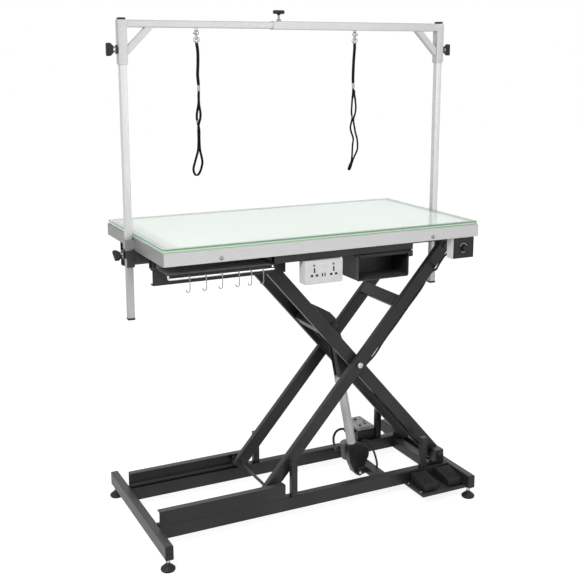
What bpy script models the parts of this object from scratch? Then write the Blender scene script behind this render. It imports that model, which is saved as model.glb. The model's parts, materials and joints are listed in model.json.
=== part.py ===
"""Electric grooming table: a scissor lift with a lit glass top, an overhead gate and its fittings.

Metres, +Z up, +X along the table's long side, origin on the floor under the middle of the table.
The table is shown raised. Each mesh object is one piece of the real thing.
"""

from math import atan2, cos, hypot, pi, radians, sin

import bmesh
import bpy
from mathutils import Matrix, Vector

# ---------------------------------------------------------------- driving dimensions
GAP = 0.0003  # between faces that touch
RUNNING_GAP = 0.0005  # round a shaft or a sliding tube

TABLE_LENGTH = 1.250
TABLE_WIDTH = 0.650
TABLE_HEIGHT = 1.126
GLASS_THICKNESS = 0.010
GLASS_INSET = 0.002
GLASS_CORNER_RADIUS = 0.012
FRAME_DEPTH = 0.047
FRAME_WALL = 0.002
FRAME_LIP_HEIGHT = 0.004
FRAME_LIP_INSET = 0.004
FRAME_FLANGE_WIDTH = 0.024
PANEL_THICKNESS = 0.008

BASE_LENGTH = 1.294
BASE_WIDTH = 0.666
FOOT_HEIGHT = 0.045
FOOT_INSET = 0.019
FOOT_DISC_RADIUS = 0.026
FOOT_STEM_RADIUS = 0.005
BASE_TUBE_WIDTH = 0.030
BASE_TUBE_HEIGHT = 0.053
END_BAR_SIZE = 0.038  # square bar between the rails, beside the scissor's fixed pivots
END_BAR_INSET = 0.031
TUBE_WALL = 0.0025
TUBE_CORNER = 0.004

RAIL_INNER = 0.150  # half the clear width between the two rails
RAIL_WIDTH = 0.038
TRACK_HEIGHT = 0.055
TRACK_DEPTH = 0.025
TRACK_WALL = 0.004
TRACK_PAST_ROLLER = 0.048
STOP_POST_SIZE = 0.025
STOP_POST_HEIGHT = 0.128
STOP_POST_INSETS = (0.681, 0.097)  # from the scissor's fixed pivots

PIVOT_INSET = 0.047  # from the base's right end to the scissor's fixed pivots
SCISSOR_SPREAD = 0.768  # from the fixed pivots to the rolling ends, as shown
SUBFRAME_RAIL_HEIGHT = 0.0374
ARM_HEIGHT = 0.050
ARM_THICKNESS = 0.025
ARM_OVERHANG = 0.020
ARM_SIDE_GAP = 0.001
WASHER = 0.002
PIN_RADIUS = 0.008
PIN_HEAD_RADIUS = 0.0135
PIN_HEAD_HEIGHT = 0.006
ROLLER_WIDTH = 0.016
ROLLER_SIDE_GAP = 0.002
AXLE_RADIUS = 0.006

OUTER_TIE_AT = 0.290  # along the outer arms, from the middle pivot
OUTER_TIE_WIDTH = 0.050
OUTER_TIE_THICKNESS = 0.024
INNER_TIE_AT = 0.197
INNER_TIE_SIZE = 0.040
CHEEK_SIDE_GAP = 0.002
CHEEK_THICKNESS = 0.006

LIFT_PIVOT_OUT = 0.050  # in front of the lift bar's middle
LIFT_PIVOT_RISE = 0.010  # above the bar's underside
# Outline of the cheeks that hold the top of the lift: along the inner arms and above their middle
CHEEK_OUTLINE = (
    (0.273, 0.042),
    (0.185, 0.0755),
    (0.150, 0.077),
    (0.040, 0.0335),
    (-0.047, -0.012),
    (-0.115, -0.058),
    (-0.0925, -0.0895),
    (0.003, -0.035),
    (0.053, -0.0064),
    (0.110, -0.012),
    (0.190, -0.012),
    (0.260, 0.012),
)
LIFT_TOP_ALONG = 0.134  # from the middle pivot, along the inner arms
LIFT_TOP_ABOVE = 0.0529
LIFT_TUBE_RADIUS = 0.0185
LIFT_TUBE_END = 0.428  # from the low pivot
LIFT_ROD_RADIUS = 0.010
LIFT_GEARBOX_LENGTH = 0.126
LIFT_GEARBOX_DEPTH = 0.040
LIFT_BULGE_RADIUS = 0.042
LIFT_BULGE_AT = (0.022, 0.068)
LIFT_MOTOR_RADIUS = 0.027
LIFT_MOTOR_LENGTH = 0.075
LIFT_BAR_INSET = 0.254  # from the scissor's fixed pivots
LIFT_BAR_WIDTH = 0.040
LIFT_BAR_HEIGHT = 0.030

POST_OUTSET = 0.016  # from the table's end to the middle of a gate post
POST_SIZE = 0.025
POST_WALL = 0.002
POST_BELOW_TABLE = 0.306
POST_ABOVE_TABLE = 0.724
CLAMP_WALL = 0.004
CLAMP_HEIGHT = 0.060
CLAMP_ARM_WIDTH = 0.030
CLAMP_ARM_LENGTH = 0.241
SLEEVE_WALL = 0.003
SLEEVE_HEIGHT = 0.148
SLEEVE_CAP = 0.004
CROSSBAR_ABOVE_POST = 0.0095
CROSSBAR_INNER_SIZE = 0.025
CROSSBAR_WALL = 0.002
CROSSBAR_SPLIT_X = -0.083
CROSSBAR_LAP = 0.150
BRACE_SIZE = 0.022
BRACE_REACH = 0.080
KNOB_WIDTH = 0.044
KNOB_LENGTH = 0.042
KNOB_THICKNESS = 0.014
KNOB_SHAFT_RADIUS = 0.004
KNOB_NUT_AT = 0.0075  # from the screw's point
KNOB_NUT_RADIUS = 0.008
KNOB_NUT_LENGTH = 0.006
SLEEVE_KNOB_HEIGHT = 0.050  # above the sleeve's lower end
CLAMP_KNOB_DROP = 0.0157  # below the table's frame
HOLDER_BELOW_TOP = (0.052, 0.020)
HOLDER_WALL = 0.003
TEE_KNOB_X = -0.055
TEE_KNOB_WIDTH = 0.044
TEE_KNOB_HEIGHT = 0.014

BAR_SETBACK = 0.013  # behind the table's front edge
BAR_WIDTH = 0.025
BAR_HEIGHT = 0.030
BAR_START = -0.222
BAR_LENGTH = 0.562
SHELF_START_INSET = 0.018
SHELF_THICKNESS = 0.002
SHELF_BACK_GAP = 0.004  # in front of the rail under the table
SHELF_LAP = 0.012
HOOK_RAIL_RADIUS = 0.004
HOOK_RAIL_OUT = 0.008  # in front of the bar
HOOK_RAIL_DROP = 0.0124  # below the bar
HOOK_SHARES = (0.176, 0.331, 0.483, 0.645, 0.765, 0.883)  # of the rail's length
HOOK_WIRE_RADIUS = 0.0017
HOOK_DROP = 0.054

SOCKET_X = (-0.111, 0.039)
SOCKET_OUT = 0.013
SOCKET_DEPTH = 0.047
SOCKET_HEIGHT = 0.084
SOCKET_SPACING = 0.076
BIN_INSET = 0.023  # from the bar's right end
BIN_WIDTH = 0.216
BIN_OUT = 0.009
BIN_BACK_GAP = 0.017
BIN_HEIGHT = 0.093
BIN_WALL = 0.002
DIMMER_INSET = 0.020
DIMMER_WIDTH = 0.094
DIMMER_DEPTH = 0.040
DIMMER_HEIGHT = 0.080
DIAL_RADIUS = 0.011
DIAL_LENGTH = 0.012

POWER_BOX_INSET = 0.160
POWER_BOX_LENGTH = 0.082
POWER_BOX_LAP = 0.012  # over the back rail
POWER_BOX_WIDTH = 0.124
POWER_BOX_HEIGHT = 0.054
POWER_SHELF_THICKNESS = 0.006
TRAY_START_INSET = 0.236
TRAY_FRONT_INSET = 0.012
TRAY_THICKNESS = 0.002
TRAY_RIM = 0.012
PEDAL_WIDTH = 0.066
PEDAL_LENGTH = 0.097
PEDAL_SIDE_GAP = 0.0007
PEDAL_SPACE = 0.048  # between the two
PEDAL_SETBACK = 0.010  # in front of the rail
PEDAL_REAR_HEIGHT = 0.050
PEDAL_FRONT_HEIGHT = 0.032
PEDAL_CLEARANCE = 0.005

NOOSE_X = (-0.373, 0.262)
EYE_RADIUS = 0.005
EYE_WIRE_RADIUS = 0.0015
CLIP_RADIUS = 0.005
CLIP_WIRE_RADIUS = 0.0015
CLIP_LENGTH = 0.024
CLIP_BARREL = 0.0095
STRAP_RADIUS = 0.0025
DIMMER_CABLE_RADIUS = 0.004
DRIVE_CABLE_RADIUS = 0.003

# ---------------------------------------------------------------- what follows from them
RAIL_OUTER = RAIL_INNER + RAIL_WIDTH
BASE_TOP = FOOT_HEIGHT + BASE_TUBE_HEIGHT
FRAME_BOTTOM = TABLE_HEIGHT - GLASS_THICKNESS - GAP - FRAME_DEPTH
LOW_AXIS_Z = BASE_TOP + TRACK_HEIGHT / 2
HIGH_TRACK_TOP = FRAME_BOTTOM - GAP - SUBFRAME_RAIL_HEIGHT
HIGH_AXIS_Z = HIGH_TRACK_TOP - TRACK_HEIGHT / 2
SCISSOR_RISE = HIGH_AXIS_Z - LOW_AXIS_Z
RAIL_END = BASE_LENGTH / 2 - BASE_TUBE_WIDTH - GAP
PIVOT_X = BASE_LENGTH / 2 - PIVOT_INSET
ROLLER_X = PIVOT_X - SCISSOR_SPREAD
TRACK_END = ROLLER_X + TRACK_PAST_ROLLER
STOP_POST_X = [PIVOT_X - inset for inset in STOP_POST_INSETS]
LIFT_BAR_X = PIVOT_X - LIFT_BAR_INSET
LIFT_LOW_PIVOT = (LIFT_BAR_X - LIFT_PIVOT_OUT, FOOT_HEIGHT + LIFT_PIVOT_RISE)  # x and z
CHEEK_INNER = LIFT_GEARBOX_DEPTH / 2 + CHEEK_SIDE_GAP
TRACK_START = 0.0002 - RAIL_END
OUTER_ARM_FACE = RAIL_INNER - ARM_SIDE_GAP
MIDDLE = Vector(((PIVOT_X + ROLLER_X) / 2, 0, (LOW_AXIS_Z + HIGH_AXIS_Z) / 2))
ARM_LENGTH = hypot(PIVOT_X - ROLLER_X, SCISSOR_RISE)
ARM_ANGLE = atan2(SCISSOR_RISE, PIVOT_X - ROLLER_X)
INNER_ARM_FACE = OUTER_ARM_FACE - ARM_THICKNESS - WASHER
TRACK_OPENING = TRACK_HEIGHT - 2 * TRACK_WALL
ROLLER_RADIUS = TRACK_OPENING / 2 - RUNNING_GAP
ROLLER_OUTER = RAIL_OUTER - TRACK_WALL - ROLLER_SIDE_GAP
POST_X = TABLE_LENGTH / 2 + POST_OUTSET
POST_BOTTOM = TABLE_HEIGHT - POST_BELOW_TABLE
POST_TOP = TABLE_HEIGHT + POST_ABOVE_TABLE
SLEEVE_TOP = POST_TOP + 0.003 + SLEEVE_CAP
SLEEVE_BOTTOM = SLEEVE_TOP - SLEEVE_HEIGHT
SLEEVE_KNOB_Z = SLEEVE_BOTTOM + SLEEVE_KNOB_HEIGHT
CROSSBAR_TOP = POST_TOP + CROSSBAR_ABOVE_POST
CROSSBAR_OUTER_SIZE = CROSSBAR_INNER_SIZE + 2 * (RUNNING_GAP + CROSSBAR_WALL)
CLAMP_KNOB_Z = FRAME_BOTTOM - CLAMP_KNOB_DROP
HOLDER_Z = (TABLE_HEIGHT - HOLDER_BELOW_TOP[0], TABLE_HEIGHT - HOLDER_BELOW_TOP[1])
SLEEVE_SIZE = POST_SIZE + 2 * (RUNNING_GAP + SLEEVE_WALL)
CLAMP_SIZE = POST_SIZE + 2 * (RUNNING_GAP + CLAMP_WALL)
BAR_FRONT = BAR_SETBACK - TABLE_WIDTH / 2
BAR_BOTTOM = FRAME_BOTTOM - GAP - BAR_HEIGHT
BAR_END = BAR_START + BAR_LENGTH
SHELF_START = SHELF_START_INSET - TABLE_LENGTH / 2
SHELF_BACK = -RAIL_OUTER - SHELF_BACK_GAP
HOOK_RAIL_Y = BAR_FRONT - HOOK_RAIL_OUT
HOOK_RAIL_Z = BAR_BOTTOM - HOOK_RAIL_DROP
HOOK_RAIL_X = (SHELF_START + 0.006, BAR_START - 0.004)
HOOK_X = [HOOK_RAIL_X[0] + share * (HOOK_RAIL_X[1] - HOOK_RAIL_X[0]) for share in HOOK_SHARES]
SOCKET_Y = (BAR_FRONT - SOCKET_OUT, BAR_FRONT - SOCKET_OUT + SOCKET_DEPTH)
BIN_X = (BAR_END - BIN_INSET - BIN_WIDTH, BAR_END - BIN_INSET)
BIN_Y = (BAR_FRONT - BIN_OUT, -RAIL_OUTER - BIN_BACK_GAP)
DIMMER_X = (TABLE_LENGTH / 2 - DIMMER_INSET - DIMMER_WIDTH, TABLE_LENGTH / 2 - DIMMER_INSET)
DIMMER_Y = (-TABLE_WIDTH / 2, DIMMER_DEPTH - TABLE_WIDTH / 2)
POWER_BOX_X = (
    BASE_LENGTH / 2 - POWER_BOX_INSET - POWER_BOX_LENGTH,
    BASE_LENGTH / 2 - POWER_BOX_INSET,
)
POWER_BOX_Y = (RAIL_OUTER - POWER_BOX_LAP, RAIL_OUTER - POWER_BOX_LAP + POWER_BOX_WIDTH)
PEDAL_RIGHT = RAIL_END - TRAY_THICKNESS - PEDAL_SIDE_GAP - PEDAL_WIDTH / 2
PEDAL_X = (PEDAL_RIGHT - PEDAL_WIDTH - PEDAL_SPACE, PEDAL_RIGHT)
PEDAL_BACK = -RAIL_OUTER - PEDAL_SETBACK
CROSSBAR_AXIS_Z = CROSSBAR_TOP - CROSSBAR_OUTER_SIZE / 2
CROSSBAR_BOTTOM_Z = CROSSBAR_AXIS_Z - CROSSBAR_INNER_SIZE / 2
EYE_Z = CROSSBAR_BOTTOM_Z - EYE_RADIUS

# ---------------------------------------------------------------- materials
MATERIALS = {
    # name: (colour, roughness, metallic)
    "black_powder_coat": ((0.035, 0.036, 0.038), 0.45, 0.3),
    "stainless": ((0.62, 0.62, 0.63), 0.32, 1.0),
    "gate_steel": ((0.68, 0.69, 0.70), 0.3, 0.9),
    "chrome": ((0.8, 0.8, 0.81), 0.12, 1.0),
    "zinc": ((0.7, 0.7, 0.68), 0.3, 1.0),
    "glass": ((0.75, 0.92, 0.82), 0.08, 0.0),
    "light_diffuser": ((0.93, 0.98, 0.95), 0.6, 0.0),
    "black_plastic": ((0.02, 0.02, 0.022), 0.5, 0.0),
    "white_plastic": ((0.82, 0.82, 0.82), 0.4, 0.0),
    "grey_tube": ((0.55, 0.56, 0.57), 0.4, 0.5),
    "rubber": ((0.015, 0.015, 0.015), 0.8, 0.0),
    "webbing": ((0.012, 0.012, 0.014), 0.9, 0.0),
}


def clear_scene():
    for leftover in list(bpy.data.objects):
        bpy.data.objects.remove(leftover, do_unlink=True)


def finish(piece, material):
    """Gives a piece a material of its own in one of the finishes above."""
    colour, roughness, metallic = MATERIALS[material]
    own = bpy.data.materials.new(f"{piece.name}_{material}")
    own.use_nodes = True
    shader = own.node_tree.nodes["Principled BSDF"]
    shader.inputs["Base Color"].default_value = (*colour, 1)
    shader.inputs["Roughness"].default_value = roughness
    shader.inputs["Metallic"].default_value = metallic
    piece.data.materials.clear()
    piece.data.materials.append(own)
    return piece


def add_object(name, data):
    piece = bpy.data.objects.new(name, data)
    bpy.context.scene.collection.objects.link(piece)
    return piece


def mesh_from(name, bm):
    bmesh.ops.recalc_face_normals(bm, faces=bm.faces)
    mesh = bpy.data.meshes.new(name)
    bm.to_mesh(mesh)
    bm.free()
    mesh.shade_smooth()
    mesh.set_sharp_from_angle(angle=radians(35))
    return add_object(name, mesh)


# ---------------------------------------------------------------- outlines, in two dimensions
def rectangle(width, height, corner=0.0, steps=3, centre=(0.0, 0.0)):
    """Outline of a rectangle, its corners rounded by quarter circles."""
    if corner <= 0:
        spots = [(-1, -1), (1, -1), (1, 1), (-1, 1)]
        return [(centre[0] + a * width / 2, centre[1] + b * height / 2) for a, b in spots]
    points = []
    for number, (a, b) in enumerate([(1, -1), (1, 1), (-1, 1), (-1, -1)]):
        for step in range(steps + 1):
            turn = (number - 1) * pi / 2 + step / steps * pi / 2
            points.append(
                (
                    centre[0] + a * (width / 2 - corner) + corner * cos(turn),
                    centre[1] + b * (height / 2 - corner) + corner * sin(turn),
                )
            )
    return points


def circle(radius, sides, centre=(0.0, 0.0)):
    turns = [2 * pi * (k + 0.5) / sides for k in range(sides)]
    return [(centre[0] + radius * cos(t), centre[1] + radius * sin(t)) for t in turns]


# ---------------------------------------------------------------- solids
def prism(name, outline, start, end, axis="Z", hole=None):
    """Outline carried straight along an axis, from start to end.

    Along X the outline is in Y and Z, along Y in X and Z, and along Z in X and Y.
    A hole is a second outline with as many points, which goes right through.
    """

    def place(point, depth):
        u, v = point
        return {"X": (depth, u, v), "Y": (u, depth, v), "Z": (u, v, depth)}[axis]

    bm = bmesh.new()
    rings = [[bm.verts.new(place(p, d)) for p in outline] for d in (start, end)]
    count = len(outline)
    for k in range(count):
        after = (k + 1) % count
        bm.faces.new((rings[0][k], rings[0][after], rings[1][after], rings[1][k]))
    if hole is None:
        bm.faces.new(rings[0])
        bm.faces.new(rings[1])
        return mesh_from(name, bm)
    inner = [[bm.verts.new(place(p, d)) for p in hole] for d in (start, end)]
    for k in range(count):
        after = (k + 1) % count
        bm.faces.new((inner[0][after], inner[0][k], inner[1][k], inner[1][after]))
        for side in (0, 1):
            bm.faces.new((rings[side][k], rings[side][after], inner[side][after], inner[side][k]))
    return mesh_from(name, bm)


def box(name, x, y, z):
    """Block between pairs of X, Y and Z."""
    centre = ((x[0] + x[1]) / 2, (y[0] + y[1]) / 2)
    return prism(name, rectangle(x[1] - x[0], y[1] - y[0], centre=centre), z[0], z[1])


def square_tube(name, width, height, centre, start, end, axis, wall=TUBE_WALL):
    """Rolled steel tube with rounded corners, open at both ends."""
    outer = rectangle(width, height, TUBE_CORNER, 2, centre)
    inner = rectangle(width - 2 * wall, height - 2 * wall, TUBE_CORNER - wall * 0.6, 2, centre)
    return prism(name, outer, start, end, axis, inner)


def turned(name, profile, sides, centre, axis="Z"):
    """Solid of revolution. The profile is (distance along the axis, radius), from end to end."""
    bm = bmesh.new()
    rings = []
    for along, radius in profile:
        ring = []
        for a, b in circle(radius, sides):
            spot = {"X": (along, a, b), "Y": (b, along, a), "Z": (a, b, along)}[axis]
            ring.append(bm.verts.new(Vector(centre) + Vector(spot)))
        rings.append(ring)
    for low, high in zip(rings, rings[1:]):
        for k in range(sides):
            after = (k + 1) % sides
            bm.faces.new((low[k], low[after], high[after], high[k]))
    bm.faces.new(rings[0])
    bm.faces.new(rings[-1])
    return mesh_from(name, bm)


def rod(name, points, radius, sides_resolution=2):
    """Round bar that follows points."""
    curve = bpy.data.curves.new(name, "CURVE")
    curve.dimensions = "3D"
    curve.bevel_depth = radius
    curve.bevel_resolution = sides_resolution
    curve.use_fill_caps = True
    spline = curve.splines.new("POLY")
    spline.points.add(len(points) - 1)
    for place, point in zip(spline.points, points):
        place.co = (*point, 1)
    return add_object(name, curve)


def swept(name, points, radius, sides=6, closed=False):
    """Round bar as a mesh, its rings square to the path. A closed path makes a ring."""
    path = [Vector(p) for p in points]
    count = len(path)
    bm = bmesh.new()
    rings = []
    side_way = None
    for k, spot in enumerate(path):
        before = path[(k - 1) % count] if closed or k > 0 else spot
        after = path[(k + 1) % count] if closed or k < count - 1 else spot
        heading = (after - before).normalized()
        if side_way is None:
            side_way = heading.orthogonal().normalized()
        side_way = (side_way - heading * side_way.dot(heading)).normalized()
        up_way = heading.cross(side_way)
        ring = []
        for a, b in circle(radius, sides):
            ring.append(bm.verts.new(spot + side_way * a + up_way * b))
        rings.append(ring)
    pairs = list(zip(rings, rings[1:]))
    if closed:
        pairs.append((rings[-1], rings[0]))
    for low, high in pairs:
        for k in range(sides):
            after = (k + 1) % sides
            bm.faces.new((low[k], low[after], high[after], high[k]))
    if not closed:
        bm.faces.new(rings[0])
        bm.faces.new(rings[-1])
    return mesh_from(name, bm)


def rounded_path(corners, bend, steps=4):
    """Path through the corners with each inner corner turned into an arc."""
    spots = [Vector(c) for c in corners]
    path = [spots[0]]
    for before, corner, after in zip(spots, spots[1:], spots[2:]):
        arrive = (corner - before).normalized()
        leave = (after - corner).normalized()
        half = arrive.angle(leave) / 2
        reach = bend * sin(half) / cos(half)
        start = corner - arrive * reach
        centre = start + (leave - arrive * arrive.dot(leave)).normalized() * bend
        for k in range(steps + 1):
            turn_by = 2 * half * k / steps
            path.append(centre + (start - centre) * cos(turn_by) + arrive * bend * sin(turn_by))
    path.append(spots[-1])
    return path


def as_mesh(piece):
    """Turns a curve, or a mesh with modifiers, into a plain mesh object of the same name."""
    name = piece.name
    view = bpy.context.evaluated_depsgraph_get()
    mesh = bpy.data.meshes.new_from_object(piece.evaluated_get(view))
    bpy.data.objects.remove(piece, do_unlink=True)
    return add_object(name, mesh)


def combine(piece, others, operation):
    for other in others:
        step = piece.modifiers.new(operation.lower(), "BOOLEAN")
        step.operation = operation
        step.object = other
    joined = as_mesh(piece)
    for other in others:
        bpy.data.objects.remove(other, do_unlink=True)
    return joined


def weld(piece, *others):
    return combine(piece, others, "UNION")


def cut(piece, *others):
    return combine(piece, others, "DIFFERENCE")


def turn(piece, matrix):
    """Moves the mesh itself, so that the object stays unturned at the origin."""
    piece.data.transform(matrix)
    return piece


def mirrored(piece, name, axis):
    """Copy on the other side of the middle, in a mesh of its own."""
    mesh = piece.data.copy()
    scale = Matrix.Diagonal([-1 if letter == axis else 1 for letter in "XYZ"] + [1])
    mesh.transform(scale)
    mesh.flip_normals()
    return add_object(name, mesh)


def hang_on(parent_empty, *pieces):
    """Parents pieces to the empty that stands on their joint's axis."""
    bpy.context.view_layer.update()
    for piece in pieces:
        piece.parent = parent_empty
        piece.matrix_parent_inverse = parent_empty.matrix_world.inverted()


def axis_empty(name, place):
    empty = add_object(name, None)
    empty.location = place
    empty.hide_render = True
    bpy.context.view_layer.update()
    return empty


# ---------------------------------------------------------------- base
def rail(name, z, axis_z):
    """Long tube with the roller track on its left half, for the side nearest the user.

    The track is a channel round the rollers' axis, which opens towards the middle of the table.
    Its flange next to the tube is sunk half its thickness into it.
    """
    middle = -(RAIL_INNER + RAIL_OUTER) / 2
    height = z[1] - z[0]
    outline_centre = (middle, (z[0] + z[1]) / 2)
    piece = square_tube(name, RAIL_WIDTH, height, outline_centre, -RAIL_END, RAIL_END, "X")
    web = -RAIL_OUTER
    half = TRACK_OPENING / 2
    low = axis_z - half - TRACK_WALL * (1.5 if axis_z > z[0] else 1)
    high = axis_z + half + TRACK_WALL * (1 if axis_z > z[0] else 1.5)
    channel = [
        (web, low),
        (web + TRACK_DEPTH, low),
        (web + TRACK_DEPTH, axis_z - half),
        (web + TRACK_WALL, axis_z - half),
        (web + TRACK_WALL, axis_z + half),
        (web + TRACK_DEPTH, axis_z + half),
        (web + TRACK_DEPTH, high),
        (web, high),
    ]
    return weld(piece, prism(f"{name}_channel", channel, TRACK_START, TRACK_END, "X"))


def bored_block(name, x, y, z, axis_z):
    """Bearing block with a bore for the pivot pin."""
    block = box(name, x, y, z)
    bore = turned(
        f"{name}_bore",
        [(y[0] - 0.01, PIN_RADIUS + RUNNING_GAP), (y[1] + 0.01, PIN_RADIUS + RUNNING_GAP)],
        16,
        (PIVOT_X, 0, axis_z),
        "Y",
    )
    return cut(block, bore)


def base_rails():
    sink = 0.002
    low = (FOOT_HEIGHT, BASE_TOP)
    front = rail("base_rail_front", low, LOW_AXIS_Z)
    additions = []
    for number, x in enumerate(STOP_POST_X):
        half = STOP_POST_SIZE / 2
        post = rectangle(STOP_POST_SIZE, STOP_POST_SIZE, 0.003, 2, (x, -RAIL_OUTER + half))
        additions.append(prism(f"stop_post_{number}", post, BASE_TOP - sink, BASE_TOP + STOP_POST_HEIGHT))
    block_y = (-RAIL_INNER - 0.012, -INNER_ARM_FACE - WASHER)
    block_x = (PIVOT_X - 0.024, RAIL_END - 0.0017)
    block = bored_block("pivot_block", block_x, block_y, (BASE_TOP - sink, LOW_AXIS_Z + 0.022), LOW_AXIS_Z)
    front = weld(front, *additions, block)
    back = mirrored(front, "base_rail_back", "Y")
    shelf = box(
        "power_shelf",
        POWER_BOX_X,
        (RAIL_OUTER - TUBE_CORNER, POWER_BOX_Y[1]),
        (BASE_TOP - POWER_SHELF_THICKNESS, BASE_TOP),
    )
    end_x = (PIVOT_X - END_BAR_INSET, PIVOT_X - END_BAR_INSET + END_BAR_SIZE)
    end_y = (GAP - RAIL_INNER, RAIL_INNER + sink)
    end_bar = box("end_bar", end_x, end_y, (FOOT_HEIGHT, FOOT_HEIGHT + END_BAR_SIZE))
    back = weld(back, shelf, end_bar)
    return [finish(front, "black_powder_coat"), finish(back, "black_powder_coat")]


def base_cross_tubes():
    made = []
    for name, side in (("base_tube_left", -1), ("base_tube_right", 1)):
        centre = (side * (BASE_LENGTH - BASE_TUBE_WIDTH) / 2, FOOT_HEIGHT + BASE_TUBE_HEIGHT / 2)
        half = BASE_WIDTH / 2
        tube = square_tube(name, BASE_TUBE_WIDTH, BASE_TUBE_HEIGHT, centre, -half, half, "Y")
        sockets = []
        for end in (-1, 1):
            sockets.append(
                turned(
                    f"{name}_thread_{end}",
                    [(-0.001, FOOT_STEM_RADIUS + RUNNING_GAP), (0.02, FOOT_STEM_RADIUS + RUNNING_GAP)],
                    12,
                    (centre[0], end * (BASE_WIDTH / 2 - FOOT_INSET), FOOT_HEIGHT),
                )
            )
        made.append(finish(cut(tube, *sockets), "black_powder_coat"))
    return made


def levelling_feet():
    """Threaded stem on a rubber disc with a domed top, which turns in the end of a cross tube."""
    made = []
    stem_top = FOOT_HEIGHT + 0.018
    profile = [
        (0.0, FOOT_DISC_RADIUS - 0.002),
        (0.003, FOOT_DISC_RADIUS),
        (0.009, FOOT_DISC_RADIUS),
        (0.016, FOOT_DISC_RADIUS * 0.72),
        (0.024, 0.0085),
        (0.030, 0.0075),
        (0.030, FOOT_STEM_RADIUS),
        (stem_top, FOOT_STEM_RADIUS),
    ]
    for x_name, x_side in (("left", -1), ("right", 1)):
        for y_name, y_side in (("front", -1), ("back", 1)):
            place = (
                x_side * (BASE_LENGTH - BASE_TUBE_WIDTH) / 2,
                y_side * (BASE_WIDTH / 2 - FOOT_INSET),
                0,
            )
            foot = turned(f"foot_{y_name}_{x_name}", profile, 16, place)
            hang_on(axis_empty(f"foot_axis_{y_name}_{x_name}", place), finish(foot, "rubber"))
            made.append(foot)
    return made


def lift_bar():
    """Cross bar between the rails with two lugs that hold the lift's lower end."""
    x, z = LIFT_LOW_PIVOT
    half = LIFT_BAR_WIDTH / 2
    bar = box(
        "lift_bar",
        (LIFT_BAR_X - half, LIFT_BAR_X + half),
        (-RAIL_INNER + GAP, RAIL_INNER - GAP),
        (FOOT_HEIGHT, FOOT_HEIGHT + LIFT_BAR_HEIGHT),
    )
    lugs = []
    for number, side in enumerate((-1, 1)):
        near = side * CHEEK_INNER
        far = side * (CHEEK_INNER + CHEEK_THICKNESS)
        outline = [
            (x - 0.016, z - 0.008),
            (x - 0.010, z + 0.014),
            (x + 0.006, z + 0.018),
            (LIFT_BAR_X - half + 0.004, FOOT_HEIGHT + 0.029),
            (LIFT_BAR_X - half + 0.004, FOOT_HEIGHT + 0.002),
            (x + 0.002, FOOT_HEIGHT - 0.004),
        ]
        lugs.append(prism(f"lug_{number}", outline, min(near, far), max(near, far), "Y"))
    bar = weld(bar, *lugs)
    reach = CHEEK_INNER + CHEEK_THICKNESS + 0.01
    bore = turned("lug_bore", [(-reach, 0.0065), (reach, 0.0065)], 16, (x, 0, z), "Y")
    return finish(cut(bar, bore), "black_powder_coat")


def power_box():
    """Power supply on its shelf behind the back rail, with a stepped lid."""
    z = BASE_TOP + GAP
    y = POWER_BOX_Y
    body = box("power_box", POWER_BOX_X, y, (z, z + POWER_BOX_HEIGHT - 0.012))
    inset = 0.002
    lid = box(
        "power_box_lid",
        (POWER_BOX_X[0] + inset, POWER_BOX_X[1] - inset),
        (y[0] + inset, y[1] - inset),
        (z + POWER_BOX_HEIGHT - 0.013, z + POWER_BOX_HEIGHT),
    )
    return finish(weld(body, lid), "black_plastic")


def pedal_tray():
    """Shallow folded tray outside the front rail, open at the top."""
    x = (BASE_LENGTH / 2 - TRAY_START_INSET, RAIL_END)
    y = (TRAY_FRONT_INSET - BASE_WIDTH / 2, -RAIL_OUTER - GAP)
    tray = box("pedal_tray", x, y, (FOOT_HEIGHT, FOOT_HEIGHT + TRAY_RIM))
    inside = box(
        "tray_inside",
        (x[0] + TRAY_THICKNESS, x[1] - TRAY_THICKNESS),
        (y[0] + TRAY_THICKNESS, y[1] - TRAY_THICKNESS),
        (FOOT_HEIGHT + TRAY_THICKNESS, FOOT_HEIGHT + TRAY_RIM + 0.01),
    )
    tray = cut(tray, inside)
    ribs = []
    for number, pedal_x in enumerate(PEDAL_X):
        post = box(
            f"pedal_hinge_{number}",
            (pedal_x - PEDAL_WIDTH / 2 + 0.012, pedal_x + PEDAL_WIDTH / 2 - 0.012),
            (PEDAL_BACK + RUNNING_GAP, PEDAL_BACK + 0.0065),
            (FOOT_HEIGHT + TRAY_THICKNESS / 2, FOOT_HEIGHT + PEDAL_REAR_HEIGHT - 0.006),
        )
        ribs.append(post)
    return finish(weld(tray, *ribs), "black_powder_coat")


def pedals():
    """Two rocking foot switches, each a wedge that is higher at its hinge."""
    made = []
    floor = FOOT_HEIGHT + TRAY_THICKNESS + PEDAL_CLEARANCE
    for name, x in zip(("pedal_up", "pedal_down"), PEDAL_X):
        side = [
            (PEDAL_BACK, floor),
            (PEDAL_BACK - PEDAL_LENGTH, floor),
            (PEDAL_BACK - PEDAL_LENGTH - 0.003, floor + 0.004),
            (PEDAL_BACK - PEDAL_LENGTH - 0.001, FOOT_HEIGHT + PEDAL_FRONT_HEIGHT),
            (PEDAL_BACK - PEDAL_LENGTH + 0.006, FOOT_HEIGHT + PEDAL_FRONT_HEIGHT + 0.003),
            (PEDAL_BACK - 0.006, FOOT_HEIGHT + PEDAL_REAR_HEIGHT + 0.001),
            (PEDAL_BACK, FOOT_HEIGHT + PEDAL_REAR_HEIGHT - 0.004),
        ]
        pedal = prism(name, side, x - PEDAL_WIDTH / 2, x + PEDAL_WIDTH / 2, "X")
        edge = pedal.modifiers.new("edge", "BEVEL")
        edge.width = 0.0015
        edge.segments = 1
        edge.limit_method = "ANGLE"
        edge.angle_limit = radians(50)
        hinge = axis_empty(f"{name}_hinge", (x, PEDAL_BACK, floor))
        hang_on(hinge, finish(pedal, "rubber"))
        made.append(pedal)
    return made


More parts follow.
